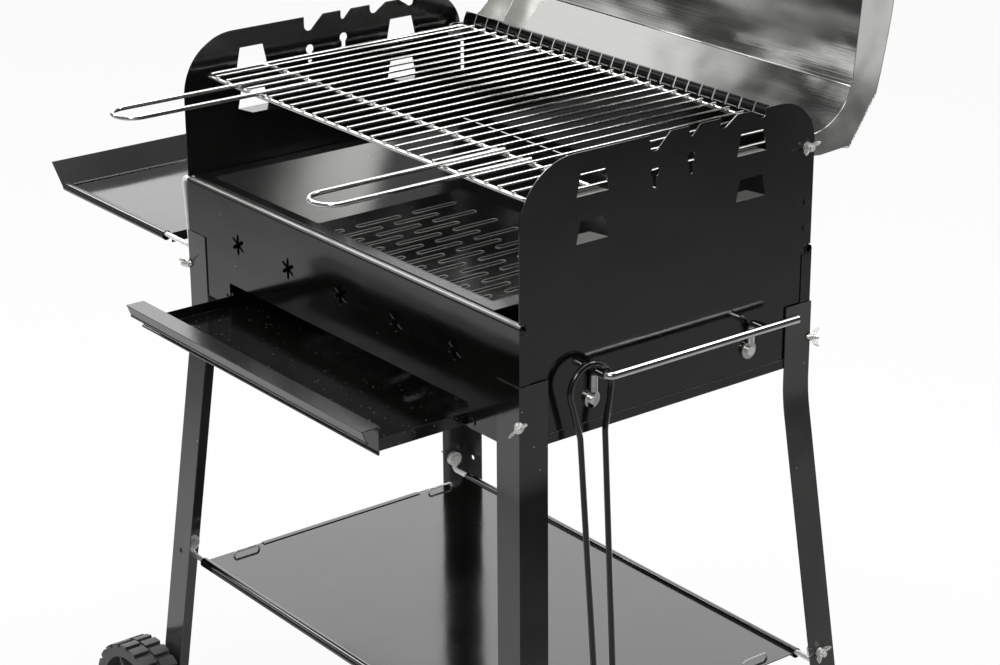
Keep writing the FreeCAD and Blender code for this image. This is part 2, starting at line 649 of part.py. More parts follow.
def build_ash_tray():
    z = tray_floor_z()
    y0 = tray_front_y()
    y1 = y0 + TRAY_LENGTH
    lip_top = RIM_HEIGHT - TRAY_LIP_DROP
    outer = block(-TRAY_HALF, TRAY_HALF, y0, y1, z, z + TRAY_WALL)
    inner = block(-TRAY_HALF + SHEET, TRAY_HALF - SHEET, y0 + SHEET, y1 - SHEET,
                  z + SHEET, z + TRAY_WALL + 1)
    front = block(-TRAY_HALF, TRAY_HALF, y0, y0 + SHEET, z, lip_top - SHEET - GAP)
    nodes["ash_tray"] = fuse([outer.cut(inner), front])

    back = y0 - GAP
    tip = back - TRAY_LIP_DEPTH
    foot = z + TRAY_LIP_RAISE
    front_low = lip_top - TRAY_LIP_FRONT
    into_hem = TRAY_HEM_R / 2
    sheets = [block(-TRAY_LIP_HALF, TRAY_LIP_HALF, back - SHEET, back, foot + into_hem, lip_top),
              block(-TRAY_LIP_HALF, TRAY_LIP_HALF, tip, y0 + SHEET, lip_top - SHEET, lip_top)]
    tucked = tip + TRAY_LIP_TUCK
    slant = [vec(-TRAY_LIP_HALF, tip, lip_top),
             vec(-TRAY_LIP_HALF, tucked, front_low),
             vec(-TRAY_LIP_HALF, tucked + SHEET, front_low),
             vec(-TRAY_LIP_HALF, tip + SHEET, lip_top)]
    sheets.append(prism(slant, vec(2 * TRAY_LIP_HALF, 0, 0)))
    hems = [rod_x(-TRAY_LIP_HALF, TRAY_LIP_HALF, back - TRAY_HEM_R, foot, TRAY_HEM_R),
            rod_x(-TRAY_LIP_HALF, TRAY_LIP_HALF, tucked + SHEET / 2, front_low, TRAY_HEM_R)]
    nodes["ash_tray_lip"] = fuse(sheets + hems)

    rivets = []
    for name, side in SIDES:
        x_side = side * (TRAY_HALF + GUIDE_CLEARANCE)
        x_wall = side * (HALF_W - SHEET - GAP)
        guide_top = BOX_BOTTOM + GUIDE_HEIGHT
        sheet = block(side * GAP, x_wall, -HALF_D, HALF_D, BOX_BOTTOM, BOX_BOTTOM + SHEET)
        guide = block(x_side, x_side + side * SHEET, -HALF_D, HALF_D, BOX_BOTTOM, guide_top)
        tabs = []
        for end in (-1, 1):
            x_tab = side * (TRAY_SLOT_HALF + SHEET + GUIDE_TAB)
            tab = block(x_side, x_tab, end * HALF_D, end * (HALF_D - SHEET), BOX_BOTTOM, guide_top)
            along = vec(0, -end, 0)
            seat = vec(floor_rivet_x(side), end * (PANEL_OUT + GAP), floor_rivet_z())
            hole = rod(seat, seat + along * 5 * SHEET, RIVET_R + GAP)
            tabs.append(tab.cut(hole))
            rivets.append(head_bolt(seat, along, 3 * SHEET, RIVET_R, RIVET_HEAD_R, RIVET_HEAD_H))
        nodes["box_floor_" + name] = fuse([sheet, guide] + tabs)
    nodes["floor_rivets"] = Part.makeCompound(rivets)


# Cooking grate: a wire frame on the folded tabs, rods across it and two loop handles
def build_grate():
    x = GRATE_HALF - GRATE_FRAME_R
    y0 = GRATE_FRONT + GRATE_FRAME_R
    y1 = GRATE_BACK - GRATE_FRAME_R
    ring = [vec(0, y0, GRATE_Z), vec(x, y0, GRATE_Z), vec(x, y1, GRATE_Z), vec(-x, y1, GRATE_Z),
            vec(-x, y0, GRATE_Z), vec(0, y0, GRATE_Z)]
    nodes["grate_frame"] = bent_rod(ring, GRATE_FRAME_R, GRATE_CORNER)
    x_bar = x - GRATE_FRAME_R - GAP
    nodes["grate_cross_bar"] = rod_x(-x_bar, x_bar, CROSS_BAR_Y, GRATE_Z, GRATE_FRAME_R)
    z_rod = GRATE_Z + GRATE_FRAME_R + GAP + GRATE_ROD_R
    rods = []
    for number in range(GRATE_RODS):
        x_rod = (number - (GRATE_RODS - 1) / 2) * GRATE_ROD_PITCH
        rods.append(rod(vec(x_rod, GRATE_FRONT, z_rod), vec(x_rod, GRATE_BACK, z_rod), GRATE_ROD_R))
    nodes["grate_rods"] = Part.makeCompound(rods)
    z_handle = GRATE_Z + GRATE_FRAME_R + GAP + HANDLE_R
    for name, side in SIDES:
        x_near = HANDLE_SHIFT + side * HANDLE_SPREAD - HANDLE_HALF
        x_far = HANDLE_SHIFT + side * HANDLE_SPREAD + HANDLE_HALF
        y_tip = HANDLE_TIP + HANDLE_R
        points = [vec(x_near, CROSS_BAR_Y, z_handle), vec(x_near, y_tip, z_handle),
                  vec(x_far, y_tip, z_handle), vec(x_far, CROSS_BAR_Y, z_handle)]
        nodes["grate_handle_" + name] = bent_rod(points, HANDLE_R, HANDLE_HALF * 0.98)


# Legs
def leg_section(side, end, x, y, z, grow_out, grow_in):
    """Angle section whose inner corner is at x, y; it can be grown both ways."""
    out = LEG_SHEET + grow_out
    tip = LEG_FLANGE - LEG_SHEET + grow_out
    corner = [(out, out), (out, -tip), (-grow_in, -tip), (-grow_in, -grow_in), (-tip, -grow_in), (-tip, out)]
    return [vec(side * (x + dx), end * (y + dy), z) for dx, dy in corner]


def leg_axis(z):
    """Inner corner of a leg at height z, on the right and rear side."""
    z_bend = RIM_HEIGHT - LEG_BEND_DROP
    below = max(0.0, z_bend - z)
    ramp = min(below, LEG_BEND_LENGTH)
    reach = ramp * ramp / (2 * LEG_BEND_LENGTH) + max(0.0, below - LEG_BEND_LENGTH)
    return LEG_IN_X + SPLAY_X * reach, LEG_IN_Y + SPLAY_Y * reach


def axle_x():
    """The wheel bolts run just inside the corner of the left legs."""
    return AXLE_INSET - leg_axis(AXLE_Z)[0]


def spacer_y():
    """Inner end of an axle spacer, clear of the lean of the leg's outer face."""
    return leg_axis(AXLE_Z)[1] + LEG_SHEET + SPLAY_Y * WASHER_R + GAP


def wheel_y():
    """Middle of the rear wheel."""
    return spacer_y() + SPACER_LENGTH + 2 * GAP + HUB_OVERHANG + WHEEL_WIDTH / 2


def leg_run(side, end, heights, grow_out, grow_in):
    runs = []
    for high, low in zip(heights, heights[1:]):
        x_high, y_high = leg_axis(high)
        x_low, y_low = leg_axis(low)
        sweep = vec(side * (x_low - x_high), end * (y_low - y_high), low - high)
        runs.append(prism(leg_section(side, end, x_high, y_high, high, grow_out, grow_in), sweep))
    return runs[0] if len(runs) == 1 else runs[0].multiFuse(runs[1:])


def shelf_roll_y():
    return SHELF_HALF_Y + SHELF_ROLL_R - SHEET


def shelf_bolt_face(side, end):
    """Where a shelf bolt leaves the outer side face of a leg."""
    z = RIM_HEIGHT - SHELF_BOLT_DROP
    return vec(side * (leg_axis(z)[0] + LEG_SHEET), end * shelf_roll_y(), z)


def build_legs():
    z_bend = RIM_HEIGHT - LEG_BEND_DROP
    bend_step = LEG_BEND_LENGTH / LEG_BEND_STEPS
    bend = [z_bend - bend_step * step for step in range(LEG_BEND_STEPS + 1)]
    for end_name, end in ENDS:
        for side_name, side in SIDES:
            bottom = FOOT_SOLE if side > 0 else AXLE_Z + LEG_ABOVE_AXLE
            heights = [RIM_HEIGHT - LEG_TOP_DROP] + bend + [bottom]
            leg = leg_run(side, end, heights, 0, 0)
            shelf_face = shelf_bolt_face(side, end)
            across_flange = vec(side * 5 * LEG_SHEET, 0, 0)
            shelf_hole = rod(shelf_face - across_flange, shelf_face + across_flange, BOLT_R + GAP)
            spare_x, spare_y = leg_axis(shelf_face.z)
            spare = vec(side * (spare_x - SPARE_HOLE_INSET), end * spare_y, shelf_face.z)
            through = vec(0, 5 * LEG_SHEET, 0)
            spare_hole = rod(spare - through, spare + through, SPARE_HOLE_R)
            holes = [corner_bolt_hole(side, end), shelf_hole, spare_hole]
            if side < 0:
                axle_middle = vec(axle_x(), 0, AXLE_Z)
                holes.append(rod(axle_middle, axle_middle + vec(0, end * 2 * wheel_y(), 0), AXLE_R + GAP))
            nodes[end_name + "_" + side_name + "_leg"] = leg.cut(fuse(holes)).removeSplitter()
            if side > 0:
                boot = leg_run(side, end, [FOOT_HEIGHT, 0], FOOT_WALL, FOOT_WALL)
                socket = leg_run(side, end, [FOOT_HEIGHT + 2, FOOT_SOLE - GAP], GAP, GAP)
                nodes[end_name + "_foot_cap"] = boot.cut(socket)


# Wing bolts of the box corners and of the bottom shelf
def build_corner_bolts():
    groups = {"box_bolts": [], "box_wing_nuts": [], "shelf_bolts": [], "shelf_wing_nuts": []}
    for side in (-1, 1):
        for end in (-1, 1):
            box_out = diagonal(side, end)
            box_seat = box_bolt_corner(side, end) - box_out * box_bolt_grip()
            shelf_out = vec(side, 0, 0)
            shelf_seat = eye_centre(side, end) - shelf_out * (EYE_SHEET / 2 + GAP)
            turn = math.radians(WING_TURN_DEG)
            for name, out, seat, face, lean in (
                    ("box", box_out, box_seat, box_bolt_corner(side, end), 0),
                    ("shelf", shelf_out, shelf_seat, shelf_bolt_face(side, end), SPLAY_X)):
                across = vec(-out.y, out.x, 0) * math.cos(turn) + vec(0, 0, math.sin(turn))
                nut_seat = face + out * (GAP + NUT_HUB_R * lean)
                reach = (nut_seat - seat).Length + NUT_HUB_H + BOLT_END
                bolt = head_bolt(seat, out, reach, BOLT_R, BOLT_HEAD_R, BOLT_HEAD_H)
                groups[name + "_bolts"].append(bolt)
                groups[name + "_wing_nuts"].append(wing_nut(nut_seat, out, across))
    for name, shapes in groups.items():
        nodes[name] = Part.makeCompound(shapes)


# Bottom shelf: a sheet with rolled front and rear edges on two rods with eyes at the legs
def eye_centre(side, end):
    """Middle of a rod's eye, inside the leg and clear of the leg's lean."""
    setback = LEG_SHEET + EYE_R * SPLAY_X + GAP + EYE_SHEET / 2
    return shelf_bolt_face(side, end) - vec(side * setback, 0, 0)


def build_bottom_shelf():
    roll_y = shelf_roll_y()
    roll_z = SHELF_Z + SHEET + SHELF_ROLL_PROUD - SHELF_ROLL_R
    sheet = block(-SHELF_HALF_X, SHELF_HALF_X, -roll_y, roll_y, SHELF_Z, SHELF_Z + SHEET)
    rolls = []
    bores = []
    for end in (-1, 1):
        rolls.append(rod_x(-SHELF_HALF_X, SHELF_HALF_X, end * roll_y, roll_z, SHELF_ROLL_R))
        bores.append(rod_x(-SHELF_HALF_X - 1, SHELF_HALF_X + 1, end * roll_y, roll_z, SHELF_ROLL_BORE_R))
    hems = []
    for side in (-1, 1):
        hems.append(block(side * SHELF_HALF_X, side * (SHELF_HALF_X - SHELF_HEM),
                          -SHELF_HEM_HALF, SHELF_HEM_HALF, SHELF_Z, SHELF_Z + 2 * SHEET))
    clips = []
    holes = []
    half = CLIP_LENGTH / 2
    for side in (-1, 1):
        for end in (-1, 1):
            x = side * CLIP_X
            y = end * CLIP_Y
            top = SHELF_Z + SHEET + CLIP_RISE
            low = SHELF_Z - CLIP_TAIL
            points = [vec(x, y - half, low), vec(x, y - half, top),
                      vec(x, y + half, top), vec(x, y + half, low)]
            clips.append(bent_rod(points, CLIP_R, 3 * CLIP_R))
            for way in (-1, 1):
                foot = vec(x, y + way * half, SHELF_Z - SHEET)
                holes.append(Part.makeCylinder(CLIP_R + GAP, 4 * SHEET, foot))
    shelf = fuse([sheet] + rolls).cut(fuse(bores)).fuse(fuse(hems)).cut(fuse(holes))
    nodes["bottom_shelf"] = shelf.removeSplitter()
    nodes["shelf_clips"] = Part.makeCompound(clips)

    rod_z = roll_z + SHELF_ROLL_BORE_R - SHELF_ROD_R - GAP
    for name, end in ENDS:
        left = eye_centre(-1, end)
        right = eye_centre(1, end)
        points = [left, vec(left.x, end * roll_y, rod_z), vec(right.x, end * roll_y, rod_z), right]
        shape = [bent_rod(points, SHELF_ROD_R, 2 * SHELF_ROD_R)]
        holes = []
        for side, centre in ((-1, left), (1, right)):
            half_eye = vec(side * EYE_SHEET / 2, 0, 0)
            shape.append(rod(centre - half_eye, centre + half_eye, EYE_R))
            holes.append(rod(centre - half_eye * 2, centre + half_eye * 2, BOLT_R + GAP))
        nodes["shelf_rod_" + name] = fuse(shape).cut(fuse(holes))


# Side shelf and its hangers
def build_side_shelf():
    z = RIM_HEIGHT - SIDE_SHELF_DROP
    roll_y = RIM_TUBE_Y
    roll_z = z + SHEET + SHELF_ROLL_PROUD - SHELF_ROLL_R
    sheet = block(SIDE_SHELF_OUTER_X, SIDE_SHELF_INNER_X, -roll_y, roll_y, z, z + SHEET)
    apron_half = roll_y - SHELF_ROLL_R - SHEET
    apron = block(SIDE_SHELF_INNER_X, SIDE_SHELF_INNER_X - SHEET, -apron_half, apron_half,
                  z - SIDE_SHELF_APRON, z + SHEET)
    half = roll_y + SHELF_ROLL_R
    lip = prism([vec(SIDE_SHELF_OUTER_X, -half, z), vec(SIDE_SHELF_OUTER_X, -half, z + SHEET),
                 vec(SIDE_SHELF_OUTER_X - SIDE_SHELF_LIP_OUT, -half, z + SHEET + SIDE_SHELF_LIP_RISE),
                 vec(SIDE_SHELF_OUTER_X - SIDE_SHELF_LIP_OUT, -half, z + SIDE_SHELF_LIP_RISE)],
                vec(0, 2 * half, 0))
    rolls = []
    bores = []
    for end in (-1, 1):
        rolls.append(rod_x(SIDE_SHELF_OUTER_X, SIDE_SHELF_INNER_X, end * roll_y, roll_z, SHELF_ROLL_R))
        bores.append(rod_x(SIDE_SHELF_OUTER_X - 1, SIDE_SHELF_INNER_X + 1, end * roll_y, roll_z,
                           SHELF_ROLL_BORE_R))
    rolled = fuse([sheet] + rolls).cut(fuse(bores))
    x_bead = SIDE_SHELF_OUTER_X + SIDE_SHELF_BEAD_INSET
    bead = rod(vec(x_bead, -apron_half, z + SHEET), vec(x_bead, apron_half, z + SHEET), SIDE_SHELF_BEAD_R)
    nodes["side_shelf"] = rolled.multiFuse([apron, lip, bead]).removeSplitter()

    wire_z = roll_z + SHELF_ROLL_BORE_R - HANGER_R - GAP
    wire_x = -LEG_IN_X - LEG_SHEET - HANGER_R - HANGER_STANDOFF
    for name, end in ENDS:
        y = end * RIM_TUBE_Y
        x_hook = wire_x - HANGER_LEAN
        points = [vec(SIDE_SHELF_OUTER_X + 4, y, wire_z), vec(wire_x, y, wire_z),
                  vec(x_hook, y, RIM_TUBE_Z), vec(x_hook + HANGER_PLUG, y, RIM_TUBE_Z)]
        nodes["side_shelf_hanger_" + name] = bent_rod(points, HANGER_R, HANGER_BEND)


# Tool bar with two eyes on the right wall
def build_tool_bar():
    z_bar = RIM_HEIGHT - BAR_DROP
    z_eye = RIM_HEIGHT - BAR_EYE_DROP
    x_root = HALF_W + GAP + BAR_R + BAR_WALL_CLEARANCE
    x_bar = HALF_W + BAR_STANDOFF
    front = bent_rod([vec(x_root, BAR_FRONT, z_eye), vec(x_root, BAR_FRONT, z_bar),
                      vec(x_bar, BAR_FRONT, z_bar), vec(x_bar, BAR_END, z_bar)], BAR_R, BAR_BEND)
    rear = bent_rod([vec(x_root, BAR_REAR_BRACKET, z_eye), vec(x_root, BAR_REAR_BRACKET, z_bar),
                     vec(x_bar, BAR_REAR_BRACKET, z_bar)], BAR_R, BAR_BEND)
    shapes = [front, rear]
    cuts = []
    screws = []
    nuts = []
    x_face = HALF_W + GAP
    for y in (BAR_FRONT, BAR_REAR_BRACKET):
        shapes.append(rod_x(x_face, x_face + BAR_EYE_SHEET, y, z_eye, BAR_EYE_R))
        cuts.append(rod_x(x_face - 1, x_face + 4 * BAR_R, y, z_eye, BAR_SCREW_R + GAP))
        cuts.append(rod_x(x_face + BAR_EYE_SHEET, x_face + 4 * BAR_R, y, z_eye, BAR_EYE_R))
        seat = vec(x_face + BAR_EYE_SHEET + GAP, y, z_eye)
        length = BAR_EYE_SHEET + SHEET + BAR_NUT_H + 2
        screws.append(head_bolt(seat, vec(-1, 0, 0), length, BAR_SCREW_R,
                                BAR_SCREW_HEAD_R, BAR_SCREW_HEAD_H))
        x_nut = HALF_W - SHEET - GAP
        nut = rod_x(x_nut - BAR_NUT_H, x_nut, y, z_eye, BAR_NUT_R)
        nuts.append(nut.cut(rod_x(x_nut - 2 * BAR_NUT_H, x_nut + 1, y, z_eye, BAR_SCREW_R + GAP)))
    nodes["tool_bar"] = fuse(shapes).cut(fuse(cuts))
    nodes["tool_bar_screws"] = Part.makeCompound(screws)
    nodes["tool_bar_nuts"] = Part.makeCompound(nuts)


# Tongs of one bent wire: a ring, a neck and two long arms
def tongs_hang_point():
    return vec(TONGS_X, BAR_FRONT, RIM_HEIGHT - BAR_DROP)


def build_tongs():
    neck = math.hypot(TONGS_NECK_HALF, TONGS_NECK)
    spread = math.atan2(TONGS_NECK_HALF, TONGS_NECK) + math.acos(TONGS_LOOP_R / neck)
    touch = (TONGS_LOOP_R * math.sin(spread), -TONGS_LOOP_R * math.cos(spread))

    def at(y, z):
        return vec(0, y, z)

    ring = Part.Arc(at(-touch[0], touch[1]), at(0, TONGS_LOOP_R), at(touch[0], touch[1])).toShape()
    arms = []
    for way in (-1, 1):
        points = [at(way * TONGS_TIP_HALF, -TONGS_LENGTH), at(way * TONGS_NECK_HALF, -TONGS_NECK),
                  at(way * touch[0], touch[1])]
        arms.append(wire_path(points, TONGS_NECK_BEND))
    path = Part.Wire(Part.__sortEdges__(arms[0].Edges + [ring] + arms[1].Edges))
    first = path.OrderedVertexes[0].Point
    along = vec(0, TONGS_TIP_HALF - TONGS_NECK_HALF, TONGS_NECK - TONGS_LENGTH)
    along.y = along.y if first.y > 0 else -along.y
    wire = sweep_round(path, first, along, TONGS_R)
    wire.rotate(vec(0, 0, 0), vec(1, 0, 0), TONGS_LEAN_DEG)
    slack = TONGS_LOOP_R - TONGS_R - BAR_R - 2 * GAP
    lift = math.radians(TONGS_CONTACT_DEG)
    wire.translate(tongs_hang_point() - vec(0, slack * math.cos(lift), slack * math.sin(lift)))
    nodes["tongs"] = wire


# Wheels, each on a bolt of its own through a left leg
def build_wheels():
    x_axle = axle_x()
    y_mid = wheel_y()
    wheel_in = y_mid - WHEEL_WIDTH / 2 - HUB_OVERHANG
    wheel_out = y_mid + WHEEL_WIDTH / 2 + HUB_OVERHANG
    axle_end = wheel_out + 2 * LOCK_RING_H
    head_seat = leg_axis(AXLE_Z)[1] - SPLAY_Y * AXLE_HEAD_R - GAP
    bolts = []
    washers = []
    rings = []
    for name, end in ENDS:
        centre = vec(x_axle, 0, AXLE_Z)

        def along(y):
            return centre + vec(0, end * y, 0)

        bore_r = AXLE_R + SHAFT_CLEARANCE
        y0 = y_mid - WHEEL_WIDTH / 2
        y1 = y_mid + WHEEL_WIDTH / 2
        ring_r = WHEEL_R - LUG_HEIGHT
        rim_hole = rod(along(y0 - 1), along(y1 + 1), ring_r - TYRE_RING)
        tyre = rod(along(y0), along(y1), ring_r).cut(rim_hole)
        web = rod(along(y_mid - WEB_SHEET / 2), along(y_mid + WEB_SHEET / 2), ring_r - TYRE_RING + 1)
        hub = rod(along(wheel_in), along(wheel_out), HUB_R)
        solids = [tyre, web, hub]
        for number in range(RIB_COUNT):
            rib = block(x_axle + HUB_R - 2, x_axle + ring_r - TYRE_RING + 1,
                        end * (y0 + RIB_SETBACK), end * (y1 - RIB_SETBACK),
                        AXLE_Z - RIB_SHEET / 2, AXLE_Z + RIB_SHEET / 2)
            rib.rotate(centre, vec(0, 1, 0), number * 360.0 / RIB_COUNT)
            solids.append(rib)
        lug_turn = 360.0 / LUG_COUNT
        lug_half = WHEEL_R * math.radians(lug_turn) * LUG_SHARE / 2
        for row, (low, high) in enumerate(((y0, y_mid - 1), (y_mid + 1, y1))):
            for number in range(LUG_COUNT):
                lug = block(x_axle + ring_r - 2, x_axle + WHEEL_R, end * low, end * high,
                            AXLE_Z - lug_half, AXLE_Z + lug_half)
                lug.rotate(centre, vec(0, 1, 0), (number + row / 2) * lug_turn)
                solids.append(lug)
        blank = fuse(solids).common(rod(along(wheel_in - 1), along(wheel_out + 1), WHEEL_R))
        nodes[name + "_wheel"] = blank.cut(rod(along(wheel_in - 1), along(wheel_out + 1), bore_r))
        cap = rod(along(wheel_out + GAP), along(wheel_out + HUB_CAP_H), HUB_R - 1)
        hollow = rod(along(wheel_out), along(wheel_out + HUB_CAP_H - 1.5), WASHER_R + 1)
        nodes[name + "_hub_cap"] = cap.cut(hollow)
        axle_hole = rod(along(0), along(axle_end + 1), AXLE_R + GAP)
        bolts.append(head_bolt(along(head_seat), vec(0, end, 0), axle_end - head_seat, AXLE_R,
                               AXLE_HEAD_R, AXLE_HEAD_H))
        washers.append(rod(along(spacer_y()), along(wheel_in - 2 * GAP), WASHER_R).cut(axle_hole))
        ring_y = wheel_out + 2 * GAP
        rings.append(rod(along(ring_y), along(ring_y + LOCK_RING_H), WASHER_R - 1).cut(axle_hole))
    nodes["wheel_bolts"] = Part.makeCompound(bolts)
    nodes["axle_spacers"] = Part.makeCompound(washers)
    nodes["axle_lock_rings"] = Part.makeCompound(rings)


# Lid: profile points are forward from the hinge and up from it, with the lid closed
def lid_point(x, forward, up):
    return vec(x, HINGE_Y - forward, HINGE_Z + up)


def lid_profile(x, inset):
    """Outline of the lid from its rear edge over the crown to its front edge, as a closed face."""
    rear_slope = math.atan2(LID_CREASE_RISE - LID_CORNER_RISE, LID_CREASE_IN)
    half_crown = (LID_FRONT - LID_REAR) / 2 - LID_CREASE_IN
    crown_slope = 2 * math.atan2(LID_CROWN_RISE - LID_CREASE_RISE, half_crown)
    bisector = (rear_slope + crown_slope) / 2
    fold = inset / math.cos((rear_slope - crown_slope) / 2)
    crown = lid_point(x, (LID_REAR + LID_FRONT) / 2, LID_CROWN_RISE - inset)
    corner_up = inset * math.tan(math.pi / 4 - rear_slope / 2)
    corners = []
    for edge, way in ((LID_REAR, 1), (LID_FRONT, -1)):
        low = lid_point(x, edge + way * inset, LID_EDGE + inset)
        shoulder = lid_point(x, edge + way * inset, LID_CORNER_RISE - corner_up)
        crease = lid_point(x, edge + way * (LID_CREASE_IN + fold * math.sin(bisector)),
                           LID_CREASE_RISE - fold * math.cos(bisector))
        corners.append((low, shoulder, crease))
    (low0, shoulder0, crease0), (low1, shoulder1, crease1) = corners
    edges = [Part.LineSegment(low0, shoulder0).toShape(), Part.LineSegment(shoulder0, crease0).toShape(),
             Part.Arc(crease0, crown, crease1).toShape(), Part.LineSegment(crease1, shoulder1).toShape(),
             Part.LineSegment(shoulder1, low1).toShape(), Part.LineSegment(low1, low0).toShape()]
    return Part.Face(Part.Wire(edges))


def lid_ear(side, x_in, sheet):
    """Cheek strap that reaches down to the hinge bolt, with its curved front edge."""
    low = LID_EDGE + LID_SHEET + 2
    left_of = LID_REAR + LID_SHEET + GAP
    front_foot = 60.0
    points = {"top_rear": lid_point(x_in, left_of, low),
              "under_lip": lid_point(x_in, left_of, LID_EDGE - GAP),
              "rear": lid_point(x_in, -EAR_R, EAR_R * 2),
              "rear_low": lid_point(x_in, -EAR_R, 0), "low": lid_point(x_in, 0, -EAR_R),
              "front_low": lid_point(x_in, EAR_R, 0), "bulge": lid_point(x_in, EAR_R * 2.2, EAR_R * 3.3),
              "front": lid_point(x_in, front_foot, LID_EDGE), "top_front": lid_point(x_in, front_foot, low)}
    edges = [Part.LineSegment(points["top_rear"], points["under_lip"]).toShape(),
             Part.LineSegment(points["under_lip"], points["rear"]).toShape(),
             Part.LineSegment(points["rear"], points["rear_low"]).toShape(),
             Part.Arc(points["rear_low"], points["low"], points["front_low"]).toShape(),
             Part.Arc(points["front_low"], points["bulge"], points["front"]).toShape(),
             Part.LineSegment(points["front"], points["top_front"]).toShape(),
             Part.LineSegment(points["top_front"], points["top_rear"]).toShape()]
    return Part.Face(Part.Wire(edges)).extrude(vec(side * sheet, 0, 0))


def opened(shape):
    """Swing a piece of the lid from closed to the open pose it is stored in."""
    turned = shape.copy()
    turned.rotate(vec(0, HINGE_Y, HINGE_Z), vec(1, 0, 0), -LID_OPEN_DEG)
    return turned


def lid_handle_foot(side):
    """Seat of a handle foot in the middle of the front strip, and the strip's outward direction."""
    rise = LID_CREASE_RISE - LID_CORNER_RISE
    tilt = math.atan2(rise, LID_CREASE_IN)
    seat = lid_point(side * LID_HANDLE_HALF, LID_FRONT - LID_CREASE_IN / 2, LID_CORNER_RISE + rise / 2)
    return seat, vec(0, -math.sin(tilt), math.cos(tilt))


def build_lid():
    x0 = -LID_HALF
    outer = lid_profile(x0, 0).extrude(vec(2 * LID_HALF, 0, 0))
    inner = lid_profile(x0 - 1, LID_SHEET).extrude(vec(2 * LID_HALF + 2, 0, 0))
    mouth = block(-LID_HALF - 1, LID_HALF + 1,
                  HINGE_Y - LID_REAR - LID_SHEET, HINGE_Y - LID_FRONT + LID_SHEET,
                  HINGE_Z + LID_EDGE - 1, HINGE_Z + LID_EDGE + 2 * LID_SHEET)
    shell = outer.cut(fuse([inner, mouth]))
    screws = []
    screw_holes = []
    feet = []
    for side in (-1, 1):
        seat, out = lid_handle_foot(side)
        screw_holes.append(rod(seat - out * 5, seat + out * 5, LID_SCREW_R + GAP))
        head_seat = seat - out * (LID_SHEET + 2 * GAP)
        screws.append(head_bolt(head_seat, out, LID_SHEET + LID_HANDLE_FOOT_H + 6, LID_SCREW_R,
                                LID_SCREW_HEAD_R, LID_SCREW_HEAD_H))
        feet.append(seat + out * GAP)
    nodes["lid_shell"] = opened(shell.cut(fuse(screw_holes)))
    nodes["lid_handle_screws"] = opened(Part.makeCompound(screws))

    out = lid_handle_foot(1)[1]
    top_left = feet[0] + out * LID_HANDLE_STANDOFF
    top_right = feet[1] + out * LID_HANDLE_STANDOFF
    shapes = [bent_rod([feet[0], top_left, top_right, feet[1]], LID_HANDLE_R, LID_HANDLE_BEND)]
    for foot in feet:
        shapes.append(rod(foot, foot + out * LID_HANDLE_FOOT_H, LID_HANDLE_FOOT_R))
    drilled = [rod(foot - out, foot + out * (LID_HANDLE_FOOT_H + 7), LID_SCREW_R + GAP) for foot in feet]
    nodes["lid_handle"] = opened(fuse(shapes).cut(fuse(drilled)))

    bolts = []
    nuts = []
    for name, side in SIDES:
        x_in = side * (LID_HALF - LID_SHEET - GAP)
        plate = lid_profile(x_in, LID_SHEET + GAP).extrude(vec(side * LID_SHEET, 0, 0))
        hole = rod_x(-HALF_W * 2, HALF_W * 2, HINGE_Y, HINGE_Z, BOLT_R + SHAFT_CLEARANCE)
        nodes["lid_" + name + "_cheek"] = opened(fuse([plate, lid_ear(side, x_in, LID_SHEET)]).cut(hole))
        seat = vec(x_in - side * 3 * GAP, HINGE_Y, HINGE_Z)
        out = vec(side, 0, 0)
        nut_seat = vec(side * (HALF_W + GAP), HINGE_Y, HINGE_Z)
        reach = (nut_seat - seat).Length + NUT_HUB_H + BOLT_END
        bolts.append(head_bolt(seat, out, reach, BOLT_R, BOLT_HEAD_R, BOLT_HEAD_H))
        nuts.append(wing_nut(nut_seat, out, vec(0, 0.9, 0.436)))
    nodes["lid_hinge_bolts"] = Part.makeCompound(bolts)
    nodes["lid_hinge_wing_nuts"] = Part.makeCompound(nuts)


build_firebox()
build_wind_guard()
build_charcoal_pan()
build_ash_tray()
build_grate()
build_legs()
build_corner_bolts()
build_bottom_shelf()
build_side_shelf()
build_tool_bar()
build_tongs()
build_wheels()
build_lid()

whole = Part.makeCompound(list(nodes.values())).BoundBox
shift = vec(-(whole.XMin + whole.XMax) / 2, -(whole.YMin + whole.YMax) / 2, -whole.ZMin)
print("shift", round(shift.x, 4), round(shift.y, 4), round(shift.z, 4))
os.makedirs("parts", exist_ok=True)
for name, shape in nodes.items():
    shape.translate(shift)
    print(name, len(shape.Solids), shape.isValid(), round(shape.Volume, 1))
    shape.exportStep("parts/" + name + ".step")
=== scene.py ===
import json
import math
import random

import bmesh
import bpy
from mathutils import Matrix, Vector


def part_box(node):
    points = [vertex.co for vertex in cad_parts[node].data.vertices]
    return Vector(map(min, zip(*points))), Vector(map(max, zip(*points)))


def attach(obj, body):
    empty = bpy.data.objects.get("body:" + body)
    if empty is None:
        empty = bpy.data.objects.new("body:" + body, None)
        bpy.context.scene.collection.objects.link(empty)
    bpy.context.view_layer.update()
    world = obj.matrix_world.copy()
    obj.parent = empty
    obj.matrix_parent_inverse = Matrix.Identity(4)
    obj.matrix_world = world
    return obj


# The grill cart's looks: finishes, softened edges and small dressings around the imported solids.

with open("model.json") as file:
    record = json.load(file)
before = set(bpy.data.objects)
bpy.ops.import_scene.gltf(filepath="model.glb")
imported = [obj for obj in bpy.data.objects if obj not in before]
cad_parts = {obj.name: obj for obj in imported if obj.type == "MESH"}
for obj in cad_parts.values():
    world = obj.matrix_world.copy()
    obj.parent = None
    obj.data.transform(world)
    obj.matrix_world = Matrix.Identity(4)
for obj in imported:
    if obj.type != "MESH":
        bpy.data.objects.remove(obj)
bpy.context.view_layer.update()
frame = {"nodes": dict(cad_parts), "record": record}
nodes = frame["nodes"]

